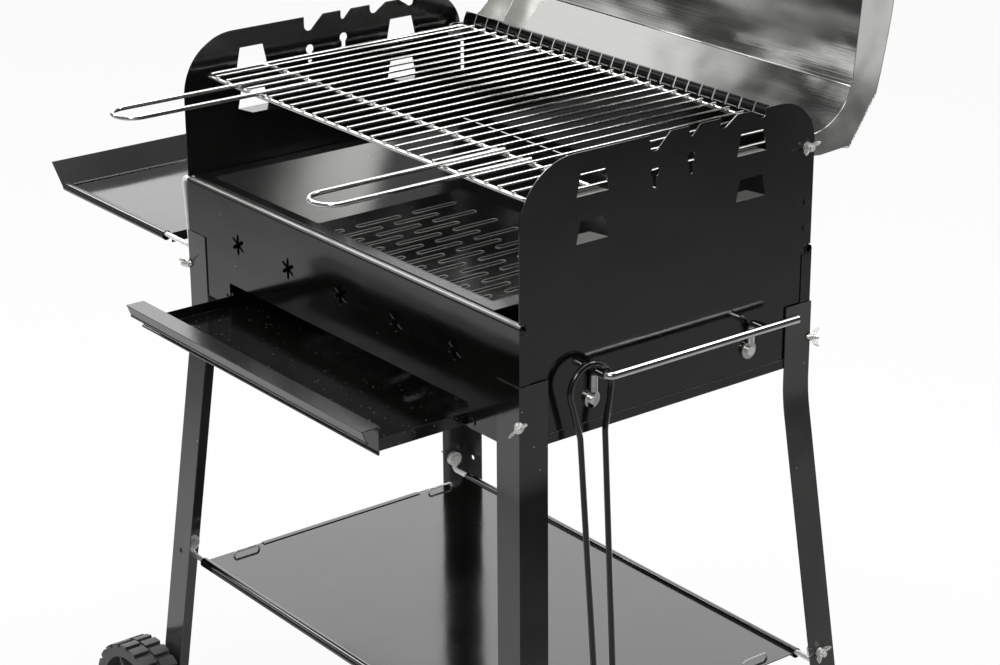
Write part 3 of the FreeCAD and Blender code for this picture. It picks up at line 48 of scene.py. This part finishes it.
# Camera fitted to the photograph: position in metres, axes as unit vectors, focal length in pixels
PHOTO_WIDTH = 1000
FOCAL_PIXELS = 2548.8
SENSOR_MM = 36.0
CAMERA_RIGHT = Vector((0.6142, 0.7893, -0.0049))
CAMERA_UP = Vector((-0.2817, 0.2250, 0.9328))
CAMERA_BACK = Vector((0.7373, -0.5714, 0.3605))
CAMERA_FROM_RIM = Vector((1.9697, -1.5102, 0.8230))

# Where the middle of the firebox rim is: between the side walls, at the top of the rolled rim
left_low, left_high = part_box("left_side_wall")
right_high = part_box("right_side_wall")[1]
panel_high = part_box("front_panel")[1]
RIM = Vector(((left_low.x + right_high.x) / 2, (left_low.y + left_high.y) / 2, panel_high.z))

# Sockets of the mix node when it mixes colours
MIX_FIRST = 6
MIX_SECOND = 7
MIX_RESULT = 2


# Node helpers
def new_material(name):
    material = bpy.data.materials.new(name)
    material.use_nodes = True
    tree = material.node_tree
    tree.nodes.clear()
    output = tree.nodes.new("ShaderNodeOutputMaterial")
    shader = tree.nodes.new("ShaderNodeBsdfPrincipled")
    tree.links.new(shader.outputs["BSDF"], output.inputs["Surface"])
    return material, tree, shader


def add(tree, kind, **settings):
    node = tree.nodes.new(kind)
    for key, value in settings.items():
        setattr(node, key, value)
    return node


def object_coords(tree, scale=(1, 1, 1)):
    coords = add(tree, "ShaderNodeTexCoord")
    mapping = add(tree, "ShaderNodeMapping")
    mapping.inputs["Scale"].default_value = scale
    tree.links.new(coords.outputs["Object"], mapping.inputs["Vector"])
    return mapping.outputs["Vector"]


def noise(tree, vector, scale, detail=2.0, roughness=0.5):
    node = add(tree, "ShaderNodeTexNoise")
    node.inputs["Scale"].default_value = scale
    node.inputs["Detail"].default_value = detail
    node.inputs["Roughness"].default_value = roughness
    tree.links.new(vector, node.inputs["Vector"])
    return node.outputs["Fac"]


def remap(tree, value, low, high, to_low=0, to_high=1):
    node = add(tree, "ShaderNodeMapRange")
    node.inputs["From Min"].default_value = low
    node.inputs["From Max"].default_value = high
    node.inputs["To Min"].default_value = to_low
    node.inputs["To Max"].default_value = to_high
    tree.links.new(value, node.inputs["Value"])
    return node.outputs["Result"]


def smooth(tree, value, low, high):
    node = add(tree, "ShaderNodeMapRange", interpolation_type="SMOOTHSTEP")
    node.inputs["From Min"].default_value = low
    node.inputs["From Max"].default_value = high
    tree.links.new(value, node.inputs["Value"])
    return node.outputs["Result"]


def mix_colour(tree, factor, first, second):
    node = add(tree, "ShaderNodeMix", data_type="RGBA")
    tree.links.new(factor, node.inputs["Factor"])
    for socket, colour in ((node.inputs[MIX_FIRST], first), (node.inputs[MIX_SECOND], second)):
        if isinstance(colour, tuple):
            socket.default_value = colour
        else:
            tree.links.new(colour, socket)
    return node.outputs[MIX_RESULT]


def combine(tree, operation, first, second):
    node = add(tree, "ShaderNodeMath", operation=operation)
    for socket, value in zip(node.inputs, (first, second)):
        if isinstance(value, (int, float)):
            socket.default_value = value
        else:
            tree.links.new(value, socket)
    return node.outputs["Value"]


def toward(tree, vector, direction):
    """How far a vector leans towards the given direction."""
    node = add(tree, "ShaderNodeVectorMath", operation="DOT_PRODUCT")
    node.inputs[1].default_value = direction
    tree.links.new(vector, node.inputs[0])
    return node.outputs["Value"]


def bump(tree, shader, height, strength, distance):
    node = add(tree, "ShaderNodeBump")
    node.inputs["Strength"].default_value = strength
    node.inputs["Distance"].default_value = distance
    tree.links.new(height, node.inputs["Height"])
    tree.links.new(node.outputs["Normal"], shader.inputs["Normal"])


def times(colour, factor):
    """A lighter or darker shade of a colour."""
    return tuple(min(1.0, part * factor) for part in colour[:3]) + (1.0,)


def specks(tree, vector, scale, size, share):
    """Round dust specks: a few cells of a Voronoi pattern, each with a small dot in it."""
    soft_edge = 0.5
    narrow = 0.98
    cells = add(tree, "ShaderNodeTexVoronoi", feature="F1")
    cells.inputs["Scale"].default_value = scale
    tree.links.new(vector, cells.inputs["Vector"])
    dot = remap(tree, cells.outputs["Distance"], size, size * soft_edge)
    split = add(tree, "ShaderNodeSeparateColor")
    tree.links.new(cells.outputs["Color"], split.inputs["Color"])
    chosen = remap(tree, split.outputs["Red"], 1 - share, 1 - share * narrow)
    return combine(tree, "MULTIPLY", dot, chosen)


# Where in a noise pattern, which runs from 0 to 1, patches of another colour or gloss start and are full
PATCHES = (0.35, 0.7)
GLOSS = (0.3, 0.7)
WEAR = (0.4, 0.75)

# Colours
BLACK = (0.0030, 0.0031, 0.0027, 1)
# Lighter grey painted on enamel faces turned up or down: a painted highlight
PAINTED_HIGHLIGHT_GREY = (0.13, 0.135, 0.125, 1)
DUST = (0.60, 0.60, 0.56, 1)


# Finishes: pattern scales are in cells per metre, depths in metres
def enamel(name, colour, roughness, speck_share, speck_size=0.08, speck_scale=120.0, ior=1.62, highlight_way=None):
    """Glossy enamel on sheet: faint orange peel, patchy gloss, scattered dust and a painted highlight on
    faces turned one way.
    """
    patch_scale = 9.0
    patch_tint = 1.7
    highlight_lean = (0.45, 0.70)
    dull, keen = 1.25, 0.8
    dust_dullness = 0.4
    wave_scale, peel_scale = 14.0, 420.0
    peel_height = 0.04
    relief, depth = 0.25, 0.0012
    material, tree, shader = new_material(name)
    vector = object_coords(tree)
    patches = noise(tree, vector, patch_scale, detail=4.0)
    dust = specks(tree, vector, speck_scale, speck_size, speck_share)
    body = mix_colour(tree, remap(tree, patches, *PATCHES), colour, times(colour, patch_tint))
    # Faces turned along the given way get the lighter grey, a painted highlight on rims and vent edges
    if highlight_way:
        leaning = toward(tree, add(tree, "ShaderNodeTexCoord").outputs["Normal"], highlight_way)
        edge = remap(tree, combine(tree, "ABSOLUTE", leaning, 0), *highlight_lean)
        body = mix_colour(tree, edge, body, PAINTED_HIGHLIGHT_GREY)
    tree.links.new(mix_colour(tree, dust, body, DUST), shader.inputs["Base Color"])
    gloss = remap(tree, patches, *GLOSS, roughness * keen, roughness * dull)
    dusty = combine(tree, "MULTIPLY", dust, dust_dullness)
    tree.links.new(combine(tree, "ADD", gloss, dusty), shader.inputs["Roughness"])
    shader.inputs["IOR"].default_value = ior
    peel = combine(tree, "MULTIPLY", noise(tree, vector, peel_scale), peel_height)
    waves = combine(tree, "ADD", noise(tree, vector, wave_scale, detail=1.0), peel)
    bump(tree, shader, waves, relief, depth)
    return material


def chrome(name, colour, roughness, metallic=1.0):
    """Bright plated wire with slightly uneven plating."""
    wear_scale, grain_scale = 60.0, 700.0
    worn_shade = 0.82
    keen, dull = 0.7, 1.5
    relief, depth = 0.05, 0.0004
    material, tree, shader = new_material(name)
    vector = object_coords(tree)
    wear = noise(tree, vector, wear_scale, detail=3.0)
    plating = mix_colour(tree, remap(tree, wear, *WEAR), colour, times(colour, worn_shade))
    tree.links.new(plating, shader.inputs["Base Color"])
    gloss = remap(tree, wear, *GLOSS, roughness * keen, roughness * dull)
    tree.links.new(gloss, shader.inputs["Roughness"])
    shader.inputs["Metallic"].default_value = metallic
    bump(tree, shader, noise(tree, vector, grain_scale), relief, depth)
    return material


def stainless(name):
    """Polished sheet with fine rolling streaks along x, a few smears and shallow waves."""
    dark_streak, light_streak = (0.62, 0.62, 0.60, 1), (0.66, 0.66, 0.64, 1)
    streak_stretch, smear_stretch, wave_stretch = (1.2, 160.0, 160.0), (2.5, 7.0, 7.0), (1.0, 1.6, 1.6)
    polish = (0.035, 0.05)
    smear_part, smear_dullness = (0.50, 0.75), 0.10
    streak_height = 0.008
    relief, depth = 0.6, 0.0018
    material, tree, shader = new_material(name)
    streaks = noise(tree, object_coords(tree, streak_stretch), scale=5.0, detail=5.0, roughness=0.6)
    smears = noise(tree, object_coords(tree, smear_stretch), scale=2.2, detail=3.0)
    waves = noise(tree, object_coords(tree, wave_stretch), scale=7.0, detail=1.5)
    base = mix_colour(tree, remap(tree, streaks, *GLOSS), dark_streak, light_streak)
    tree.links.new(base, shader.inputs["Base Color"])
    smeared = remap(tree, smears, *smear_part, 0, smear_dullness)
    gloss = combine(tree, "ADD", remap(tree, streaks, *GLOSS, *polish), smeared)
    tree.links.new(gloss, shader.inputs["Roughness"])
    shader.inputs["Metallic"].default_value = 1.0
    height = combine(tree, "ADD", waves, combine(tree, "MULTIPLY", streaks, streak_height))
    bump(tree, shader, height, relief, depth)
    return material


def zinc(name):
    """Bright zinc plate on small fasteners."""
    bright, dull = (0.90, 0.90, 0.87, 1), (0.66, 0.66, 0.63, 1)
    polish = (0.16, 0.34)
    patch_scale = 240.0
    relief, depth = 0.15, 0.0003
    material, tree, shader = new_material(name)
    patches = noise(tree, object_coords(tree), patch_scale, detail=4.0, roughness=0.65)
    plating = mix_colour(tree, remap(tree, patches, *PATCHES), bright, dull)
    tree.links.new(plating, shader.inputs["Base Color"])
    tree.links.new(remap(tree, patches, *GLOSS, *polish), shader.inputs["Roughness"])
    shader.inputs["Metallic"].default_value = 0.55
    bump(tree, shader, patches, relief, depth)
    return material


def plastic(name, colour, roughness):
    """Moulded plastic with a fine grain and dusty high spots."""
    grain_scale, cloud_scale = 900.0, 30.0
    dusty_tint = 1.8
    keen, dull = 0.85, 1.15
    relief, depth = 0.25, 0.0003
    material, tree, shader = new_material(name)
    vector = object_coords(tree)
    clouds = noise(tree, vector, cloud_scale, detail=4.0)
    body = mix_colour(tree, remap(tree, clouds, *WEAR), colour, times(colour, dusty_tint))
    tree.links.new(body, shader.inputs["Base Color"])
    gloss = remap(tree, clouds, *GLOSS, roughness * keen, roughness * dull)
    tree.links.new(gloss, shader.inputs["Roughness"])
    bump(tree, shader, noise(tree, vector, grain_scale), relief, depth)
    return material


# The finish of each material slot, and more finishes for single pieces
UP_AND_DOWN = (0, 0, 1)
HIGH_GLOSS_IOR = 1.75
PAN_BLACK = (0.0045, 0.0045, 0.0042, 1)
# Lighter grey for the raised collars round the pan's slots: a painted highlight on their edges
PAN_EDGE_HIGHLIGHT_GREY = (0.10, 0.10, 0.095, 1)
DULL_BLACK = (0.026, 0.026, 0.025, 1)
TONGS_BLACK = (0.005, 0.005, 0.005, 1)
CHROME = (0.68, 0.68, 0.665, 1)
BRIGHT_ZINC = (0.92, 0.92, 0.90, 1)
WHEEL_GREY = (0.050, 0.053, 0.050, 1)
finish = {
    "black_enamel": enamel("black_enamel_gloss", BLACK, roughness=0.11, speck_share=0.03),
    "pan_enamel": enamel("pan_enamel_satin", PAN_BLACK, roughness=0.17, speck_share=0.06),
    "stainless": stainless("lid_stainless"),
    "chrome_wire": chrome("chrome_wire", CHROME, roughness=0.09),
    "zinc": zinc("zinc_plate"),
    "bright_wire": chrome("zinc_wire", BRIGHT_ZINC, roughness=0.16, metallic=0.25),
    "pan_edge": enamel("pan_edge_painted_highlight", PAN_EDGE_HIGHLIGHT_GREY, roughness=0.16, speck_share=0.02),
    "black_plastic": plastic("wheel_plastic", WHEEL_GREY, roughness=0.55),
    "tray_enamel": enamel("tray_enamel_dusty", BLACK, roughness=0.14, speck_share=0.30, speck_size=0.10,
                          speck_scale=240.0),
    "lip_enamel": enamel("tray_lip_satin", BLACK, roughness=0.22, speck_share=0.04, ior=HIGH_GLOSS_IOR),
    # The front panel and right wall get the painted highlight on faces turned up or down
    "panel_enamel": enamel("front_panel_enamel", BLACK, roughness=0.11, speck_share=0.03,
                           highlight_way=UP_AND_DOWN),
    "wall_enamel": enamel("side_wall_enamel", BLACK, roughness=0.18, speck_share=0.03),
    "leg_enamel": enamel("leg_enamel_gloss", BLACK, roughness=0.11, speck_share=0.05, ior=HIGH_GLOSS_IOR),
    "dull_leg_enamel": enamel("leg_enamel_dull", DULL_BLACK, roughness=0.13, speck_share=0.05,
                              ior=HIGH_GLOSS_IOR),
    "wire_enamel": enamel("tongs_enamel", TONGS_BLACK, roughness=0.16, speck_share=0.02),
}

# Pieces whose finish differs from that of their slot
OWN_FINISH = {name: "dull_leg_enamel" for name in nodes if name.endswith("_leg")}
OWN_FINISH.update({
    "front_right_leg": "leg_enamel",
    "ash_tray": "tray_enamel",
    "ash_tray_lip": "lip_enamel",
    "front_panel": "panel_enamel",
    "left_side_wall": "wall_enamel",
    "right_side_wall": "panel_enamel",
    "tongs": "wire_enamel",
    "shelf_clips": "bright_wire",
    "shelf_rod_front": "bright_wire",
    "shelf_rod_rear": "bright_wire",
    "side_shelf_hanger_front": "bright_wire",
    "side_shelf_hanger_rear": "bright_wire",
})
slot_of = {part["node"]: part["material_slot"] for part in frame["record"]["subparts"]}

# Softened edges on every solid, a little wider on the legs
EDGE_WIDTH = 0.00035
LEG_EDGE_WIDTH = 0.00055
EDGE_ANGLE = math.radians(32)
CREASE_ANGLE = math.radians(8)
FLAT_ANGLE = math.radians(0.3)
SAME_POINT = 0.000002


def dress(name, obj):
    material = finish[OWN_FINISH.get(name, slot_of[name])]
    obj.data.materials.clear()
    obj.data.materials.append(material)
    weld = obj.modifiers.new("join_faces", "WELD")
    weld.merge_threshold = SAME_POINT
    merge = obj.modifiers.new("whole_flats", "DECIMATE")
    merge.decimate_type = "DISSOLVE"
    merge.angle_limit = FLAT_ANGLE
    soften = obj.modifiers.new("soft_edges", "BEVEL")
    soften.width = LEG_EDGE_WIDTH if name.endswith("_leg") else EDGE_WIDTH
    soften.segments = 2
    soften.limit_method = "ANGLE"
    soften.angle_limit = CREASE_ANGLE if name == "lid_shell" else EDGE_ANGLE
    soften.use_clamp_overlap = True
    flats = obj.modifiers.new("flat_faces", "WEIGHTED_NORMAL")
    flats.mode = "FACE_AREA"
    flats.keep_sharp = False


for node_name, node_object in nodes.items():
    dress(node_name, node_object)


# Dressings: small pieces that the solids leave out
def piece(name, shape, material):
    """Turn a finished bmesh into an object of the scene."""
    mesh = bpy.data.meshes.new(name)
    shape.to_mesh(mesh)
    shape.free()
    mesh.materials.append(material)
    obj = bpy.data.objects.new(name, mesh)
    bpy.context.scene.collection.objects.link(obj)
    return obj


def grate_welds():
    """Weld beads where the grate's rods cross its frame and cross bar."""
    rod_count = 26
    bead_half = Vector((0.0013, 0.0022, 0.0009))
    bead_lift = 0.0001
    beside_rod = 0.75
    smallest, largest = 0.8, 1.15
    most_turn = 0.4
    bead_seed = 7
    rods_low, rods_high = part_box("grate_rods")
    frame_low, frame_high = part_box("grate_frame")
    bar_low, bar_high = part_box("grate_cross_bar")
    rod_radius = (rods_high.z - rods_low.z) / 2
    wire_radius = (frame_high.z - frame_low.z) / 2
    first = rods_low.x + rod_radius
    step = (rods_high.x - rods_low.x - 2 * rod_radius) / (rod_count - 1)
    lines = (frame_low.y + wire_radius, (bar_low.y + bar_high.y) / 2, frame_high.y - wire_radius)
    draw = random.Random(bead_seed)
    shape = bmesh.new()
    for number in range(rod_count):
        for y in lines:
            for way in (-1, 1):
                x = first + number * step + way * rod_radius * beside_rod
                place = Vector((x, y, frame_high.z + bead_lift))
                size = bead_half * draw.uniform(smallest, largest)
                turn = Matrix.Rotation(draw.uniform(-most_turn, most_turn), 4, "Z")
                bead = Matrix.Translation(place) @ turn @ Matrix.Diagonal(size.to_4d())
                bmesh.ops.create_icosphere(shape, subdivisions=2, radius=1.0, matrix=bead)
    for face in shape.faces:
        face.smooth = True
    beads = piece("grate_weld_beads", shape, finish["zinc"])
    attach(beads, "grate")


def slot_collars():
    """Raised edges round the slots of the charcoal pan's floor."""
    sheet = 0.001
    field_offset = Vector((0.0109, -0.005))
    columns = 20
    pitch = Vector((0.0186, 0.07513))
    half_length = 0.02856
    half_width = 0.003
    collar_gap = 0.0004
    wire_radius = 0.0009
    arc_steps = 6
    wire_steps = 8
    low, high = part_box("charcoal_pan")
    pan_middle = (low + high) / 2
    middle = Vector((pan_middle.x + field_offset.x, pan_middle.y + field_offset.y, low.z + sheet))
    straight = half_length - half_width
    ring_radius = half_width + collar_gap
    outline = []
    for way in (1, -1):
        for step in range(arc_steps + 1):
            angle = math.pi * step / arc_steps + (0 if way == 1 else math.pi)
            outward = Vector((math.cos(angle), math.sin(angle), 0))
            outline.append((outward * ring_radius + Vector((0, way * straight, 0)), outward))
    shape = bmesh.new()
    for column in range(columns):
        rows = (-1, 0, 1) if column % 2 == 0 else (-0.5, 0.5)
        for row in rows:
            centre = middle + Vector(((column - (columns - 1) / 2) * pitch.x, row * pitch.y, 0))
            loops = []
            for place, outward in outline:
                loop = []
                for step in range(wire_steps):
                    turn = math.tau * step / wire_steps
                    offset = outward * math.cos(turn) + Vector((0, 0, math.sin(turn)))
                    loop.append(shape.verts.new(centre + place + offset * wire_radius))
                loops.append(loop)
            for number, loop in enumerate(loops):
                following = loops[(number + 1) % len(loops)]
                for step in range(wire_steps):
                    after = (step + 1) % wire_steps
                    face = shape.faces.new((loop[step], following[step], following[after], loop[after]))
                    face.smooth = True
    bmesh.ops.recalc_face_normals(shape, faces=shape.faces)
    # The collars' lighter grey is a painted highlight
    collars = piece("pan_slot_collars", shape, finish["pan_edge"])
    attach(collars, "pan")


def lid_crease():
    """Bright fold line along the lid's rear crease, on the inside."""
    from_hinge = Vector((0, 0.0936, 0.0359))
    end_gap = 0.002
    radius = 0.0008
    sides = 12
    hinge_low, hinge_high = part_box("lid_hinge_bolts")
    shell_low, shell_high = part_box("lid_shell")
    hinge = (hinge_low + hinge_high) / 2
    shape = bmesh.new()
    rings = []
    for x in (shell_low.x + end_gap, shell_high.x - end_gap):
        ring = []
        for step in range(sides):
            turn = math.tau * step / sides
            offset = Vector((0, math.cos(turn), math.sin(turn))) * radius
            ring.append(shape.verts.new(Vector((x, hinge.y, hinge.z)) + from_hinge + offset))
        rings.append(ring)
    for step in range(sides):
        after = (step + 1) % sides
        face = shape.faces.new((rings[0][step], rings[0][after], rings[1][after], rings[1][step]))
        face.smooth = True
    for ring in rings:
        shape.faces.new(ring)
    bmesh.ops.recalc_face_normals(shape, faces=shape.faces)
    crease = piece("lid_crease_line", shape, finish["stainless"])
    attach(crease, "lid")


grate_welds()
slot_collars()
lid_crease()

# Studio: what the camera, matt surfaces and mirrors see around the part
WHITE = (1, 1, 1, 1)
SEEN_BY_CAMERA = 1.0
AMBIENT = 0.55
MIRRORED_BASE = 0.05
BACKDROP_LIGHT = 1.0
GROUND_LIGHT = 1.0
WALL_LIGHT = 0.95
ROOM_LIGHT = 0.85
CEILING_LIGHT = 1.0

# Soft boxes that only mirrors see: direction, cosine at the outer edge and at the full core, light
SOFT_BOXES = {
    "low_front_left": ((-0.68, -0.73, 0.03), 0.9985, 0.9996, 0.9),
    "high_front_right": ((0.61, -0.48, 0.63), 0.976, 0.996, 14.0),
    "low_rear_right": ((0.665, 0.705, -0.24), 0.9970, 0.9993, 1.1),
    "wide_front_right": ((0.77, -0.42, 0.48), 0.95, 0.99, 0.55),
    "wide_rear_left": ((-0.737, 0.571, 0.36), 0.900, 0.975, 1.1),
    "high_left": ((-0.737, -0.05, 0.675), 0.970, 0.990, 9.0),
    "front_left": ((-0.765, -0.57, 0.30), 0.9970, 0.9995, 4.0),
}


def mirrored_light(tree, view):
    """How bright the studio is in each direction for rays that come from mirror-like surfaces."""
    backdrop_way, backdrop_edge, backdrop_end = (-0.60, 0.75, 0.25), (0.2, 0.8), (-0.30, 0.10)
    ground_edge, ground_tilt, ground_level = (-0.25, -0.36), (-0.30, 0, 0), 0.52
    front_edge, wall_edge = (0.20, 0.40), (0.690, 0.725)
    low_strip_foot, low_strip_top, high_strip_foot = (0.075, 0.105), (0.20, 0.13), (0.41, 0.47)
    room_stretch, room_scale, room_bands, room_foot = (9.0, 3.0, 14.0), 2.6, (0.55, 0.62), (-0.20, -0.05)
    ceiling_edge = (0.75, 0.95)
    height = toward(tree, view, (0, 0, 1))
    to_rear = toward(tree, view, (0, 1, 0))
    to_front = toward(tree, view, (0, -1, 0))
    to_left = toward(tree, view, (-1, 0, 0))
    backdrop = combine(tree, "MULTIPLY", smooth(tree, toward(tree, view, backdrop_way), *backdrop_edge),
                       smooth(tree, to_rear, *backdrop_end))
    side_fade = combine(tree, "ADD", toward(tree, view, ground_tilt), ground_level)
    ground = combine(tree, "MULTIPLY", smooth(tree, height, *ground_edge), side_fade)
    front = smooth(tree, to_front, *front_edge)
    low_strip = combine(tree, "MULTIPLY", smooth(tree, height, *low_strip_foot),
                        smooth(tree, height, *low_strip_top))
    strips = combine(tree, "ADD", low_strip, smooth(tree, height, *high_strip_foot))
    wall = combine(tree, "MULTIPLY", smooth(tree, to_left, *wall_edge), strips)
    stretch = add(tree, "ShaderNodeMapping")
    stretch.inputs["Scale"].default_value = room_stretch
    tree.links.new(view, stretch.inputs["Vector"])
    bands = smooth(tree, noise(tree, stretch.outputs["Vector"], room_scale, detail=3.0), *room_bands)
    room = combine(tree, "MULTIPLY", bands, smooth(tree, height, *room_foot))
    lights = [(backdrop, BACKDROP_LIGHT), (ground, GROUND_LIGHT),
              (combine(tree, "MULTIPLY", front, wall), WALL_LIGHT),
              (combine(tree, "MULTIPLY", front, room), ROOM_LIGHT),
              (smooth(tree, height, *ceiling_edge), CEILING_LIGHT)]
    for direction, edge, core, light in SOFT_BOXES.values():
        lights.append((smooth(tree, toward(tree, view, direction), edge, core), light))
    total = MIRRORED_BASE
    for glow, light in lights:
        total = combine(tree, "ADD", combine(tree, "MULTIPLY", glow, light), total)
    return total


def background(tree, strength):
    node = add(tree, "ShaderNodeBackground")
    node.inputs["Color"].default_value = WHITE
    if isinstance(strength, float):
        node.inputs["Strength"].default_value = strength
    else:
        tree.links.new(strength, node.inputs["Strength"])
    return node.outputs["Background"]


def mix_shaders(tree, factor, first, second):
    node = add(tree, "ShaderNodeMixShader")
    tree.links.new(factor, node.inputs["Fac"])
    tree.links.new(first, node.inputs[1])
    tree.links.new(second, node.inputs[2])
    return node.outputs["Shader"]


def build_world():
    world = bpy.data.worlds.new("studio")
    bpy.context.scene.world = world
    world.use_nodes = True
    tree = world.node_tree
    tree.nodes.clear()
    output = add(tree, "ShaderNodeOutputWorld")
    path = add(tree, "ShaderNodeLightPath")
    view = add(tree, "ShaderNodeTexCoord").outputs["Generated"]
    mirror_ray = combine(tree, "MAXIMUM", path.outputs["Is Glossy Ray"], path.outputs["Is Transmission Ray"])
    mirrored = background(tree, mirrored_light(tree, view))
    unseen = mix_shaders(tree, mirror_ray, background(tree, AMBIENT), mirrored)
    whole = mix_shaders(tree, path.outputs["Is Camera Ray"], unseen, background(tree, SEEN_BY_CAMERA))
    tree.links.new(whole, output.inputs["Surface"])


def build_floor():
    """Pale floor that takes soft shadows and is nearly white to the camera."""
    half = 45.0
    pale = (0.85, 0.85, 0.85, 1)
    white_share = 0.9
    mesh = bpy.data.meshes.new("studio_floor")
    corners = [(-half, -half, 0), (half, -half, 0), (half, half, 0), (-half, half, 0)]
    mesh.from_pydata(corners, [], [(0, 1, 2, 3)])
    floor = bpy.data.objects.new("studio_floor", mesh)
    bpy.context.scene.collection.objects.link(floor)
    material = bpy.data.materials.new("studio_floor")
    material.use_nodes = True
    tree = material.node_tree
    tree.nodes.clear()
    output = add(tree, "ShaderNodeOutputMaterial")
    diffuse = add(tree, "ShaderNodeBsdfDiffuse")
    diffuse.inputs["Color"].default_value = pale
    white = add(tree, "ShaderNodeEmission")
    white.inputs["Strength"].default_value = SEEN_BY_CAMERA
    path = add(tree, "ShaderNodeLightPath")
    share = combine(tree, "MULTIPLY", path.outputs["Is Camera Ray"], white_share)
    blend = mix_shaders(tree, share, diffuse.outputs["BSDF"], white.outputs["Emission"])
    tree.links.new(blend, output.inputs["Surface"])
    mesh.materials.append(material)
    floor.visible_glossy = False


LAMP_TARGET = Vector((0, 0, 0.7))


def area_lamp(name, place, size, power, mirrored=True):
    lamp = bpy.data.lights.new(name, "AREA")
    lamp.shape = "RECTANGLE"
    lamp.size, lamp.size_y = size
    lamp.energy = power
    holder = bpy.data.objects.new(name, lamp)
    bpy.context.scene.collection.objects.link(holder)
    holder.location = place
    holder.visible_glossy = mirrored
    holder.rotation_euler = (LAMP_TARGET - Vector(place)).to_track_quat("-Z", "Y").to_euler()


def build_camera():
    camera = bpy.data.cameras.new("photo_camera")
    camera.sensor_fit = "HORIZONTAL"
    camera.sensor_width = SENSOR_MM
    camera.lens = FOCAL_PIXELS / PHOTO_WIDTH * SENSOR_MM
    holder = bpy.data.objects.new("photo_camera", camera)
    bpy.context.scene.collection.objects.link(holder)
    turn = Matrix((CAMERA_RIGHT, CAMERA_UP, CAMERA_BACK)).transposed()
    holder.matrix_world = Matrix.Translation(RIM + CAMERA_FROM_RIM) @ turn.to_4x4()
    bpy.context.scene.camera = holder


build_world()
build_floor()
area_lamp("key", place=(-1.6, -2.4, 2.8), size=(1.6, 1.6), power=45, mirrored=False)
area_lamp("pan_glow", place=(0.95, 1.45, 2.5), size=(0.7, 0.7), power=14)
area_lamp("top", place=(-0.3, 0.2, 3.2), size=(2.0, 1.4), power=40)
build_camera()
bpy.context.scene.view_settings.view_transform = "Standard"
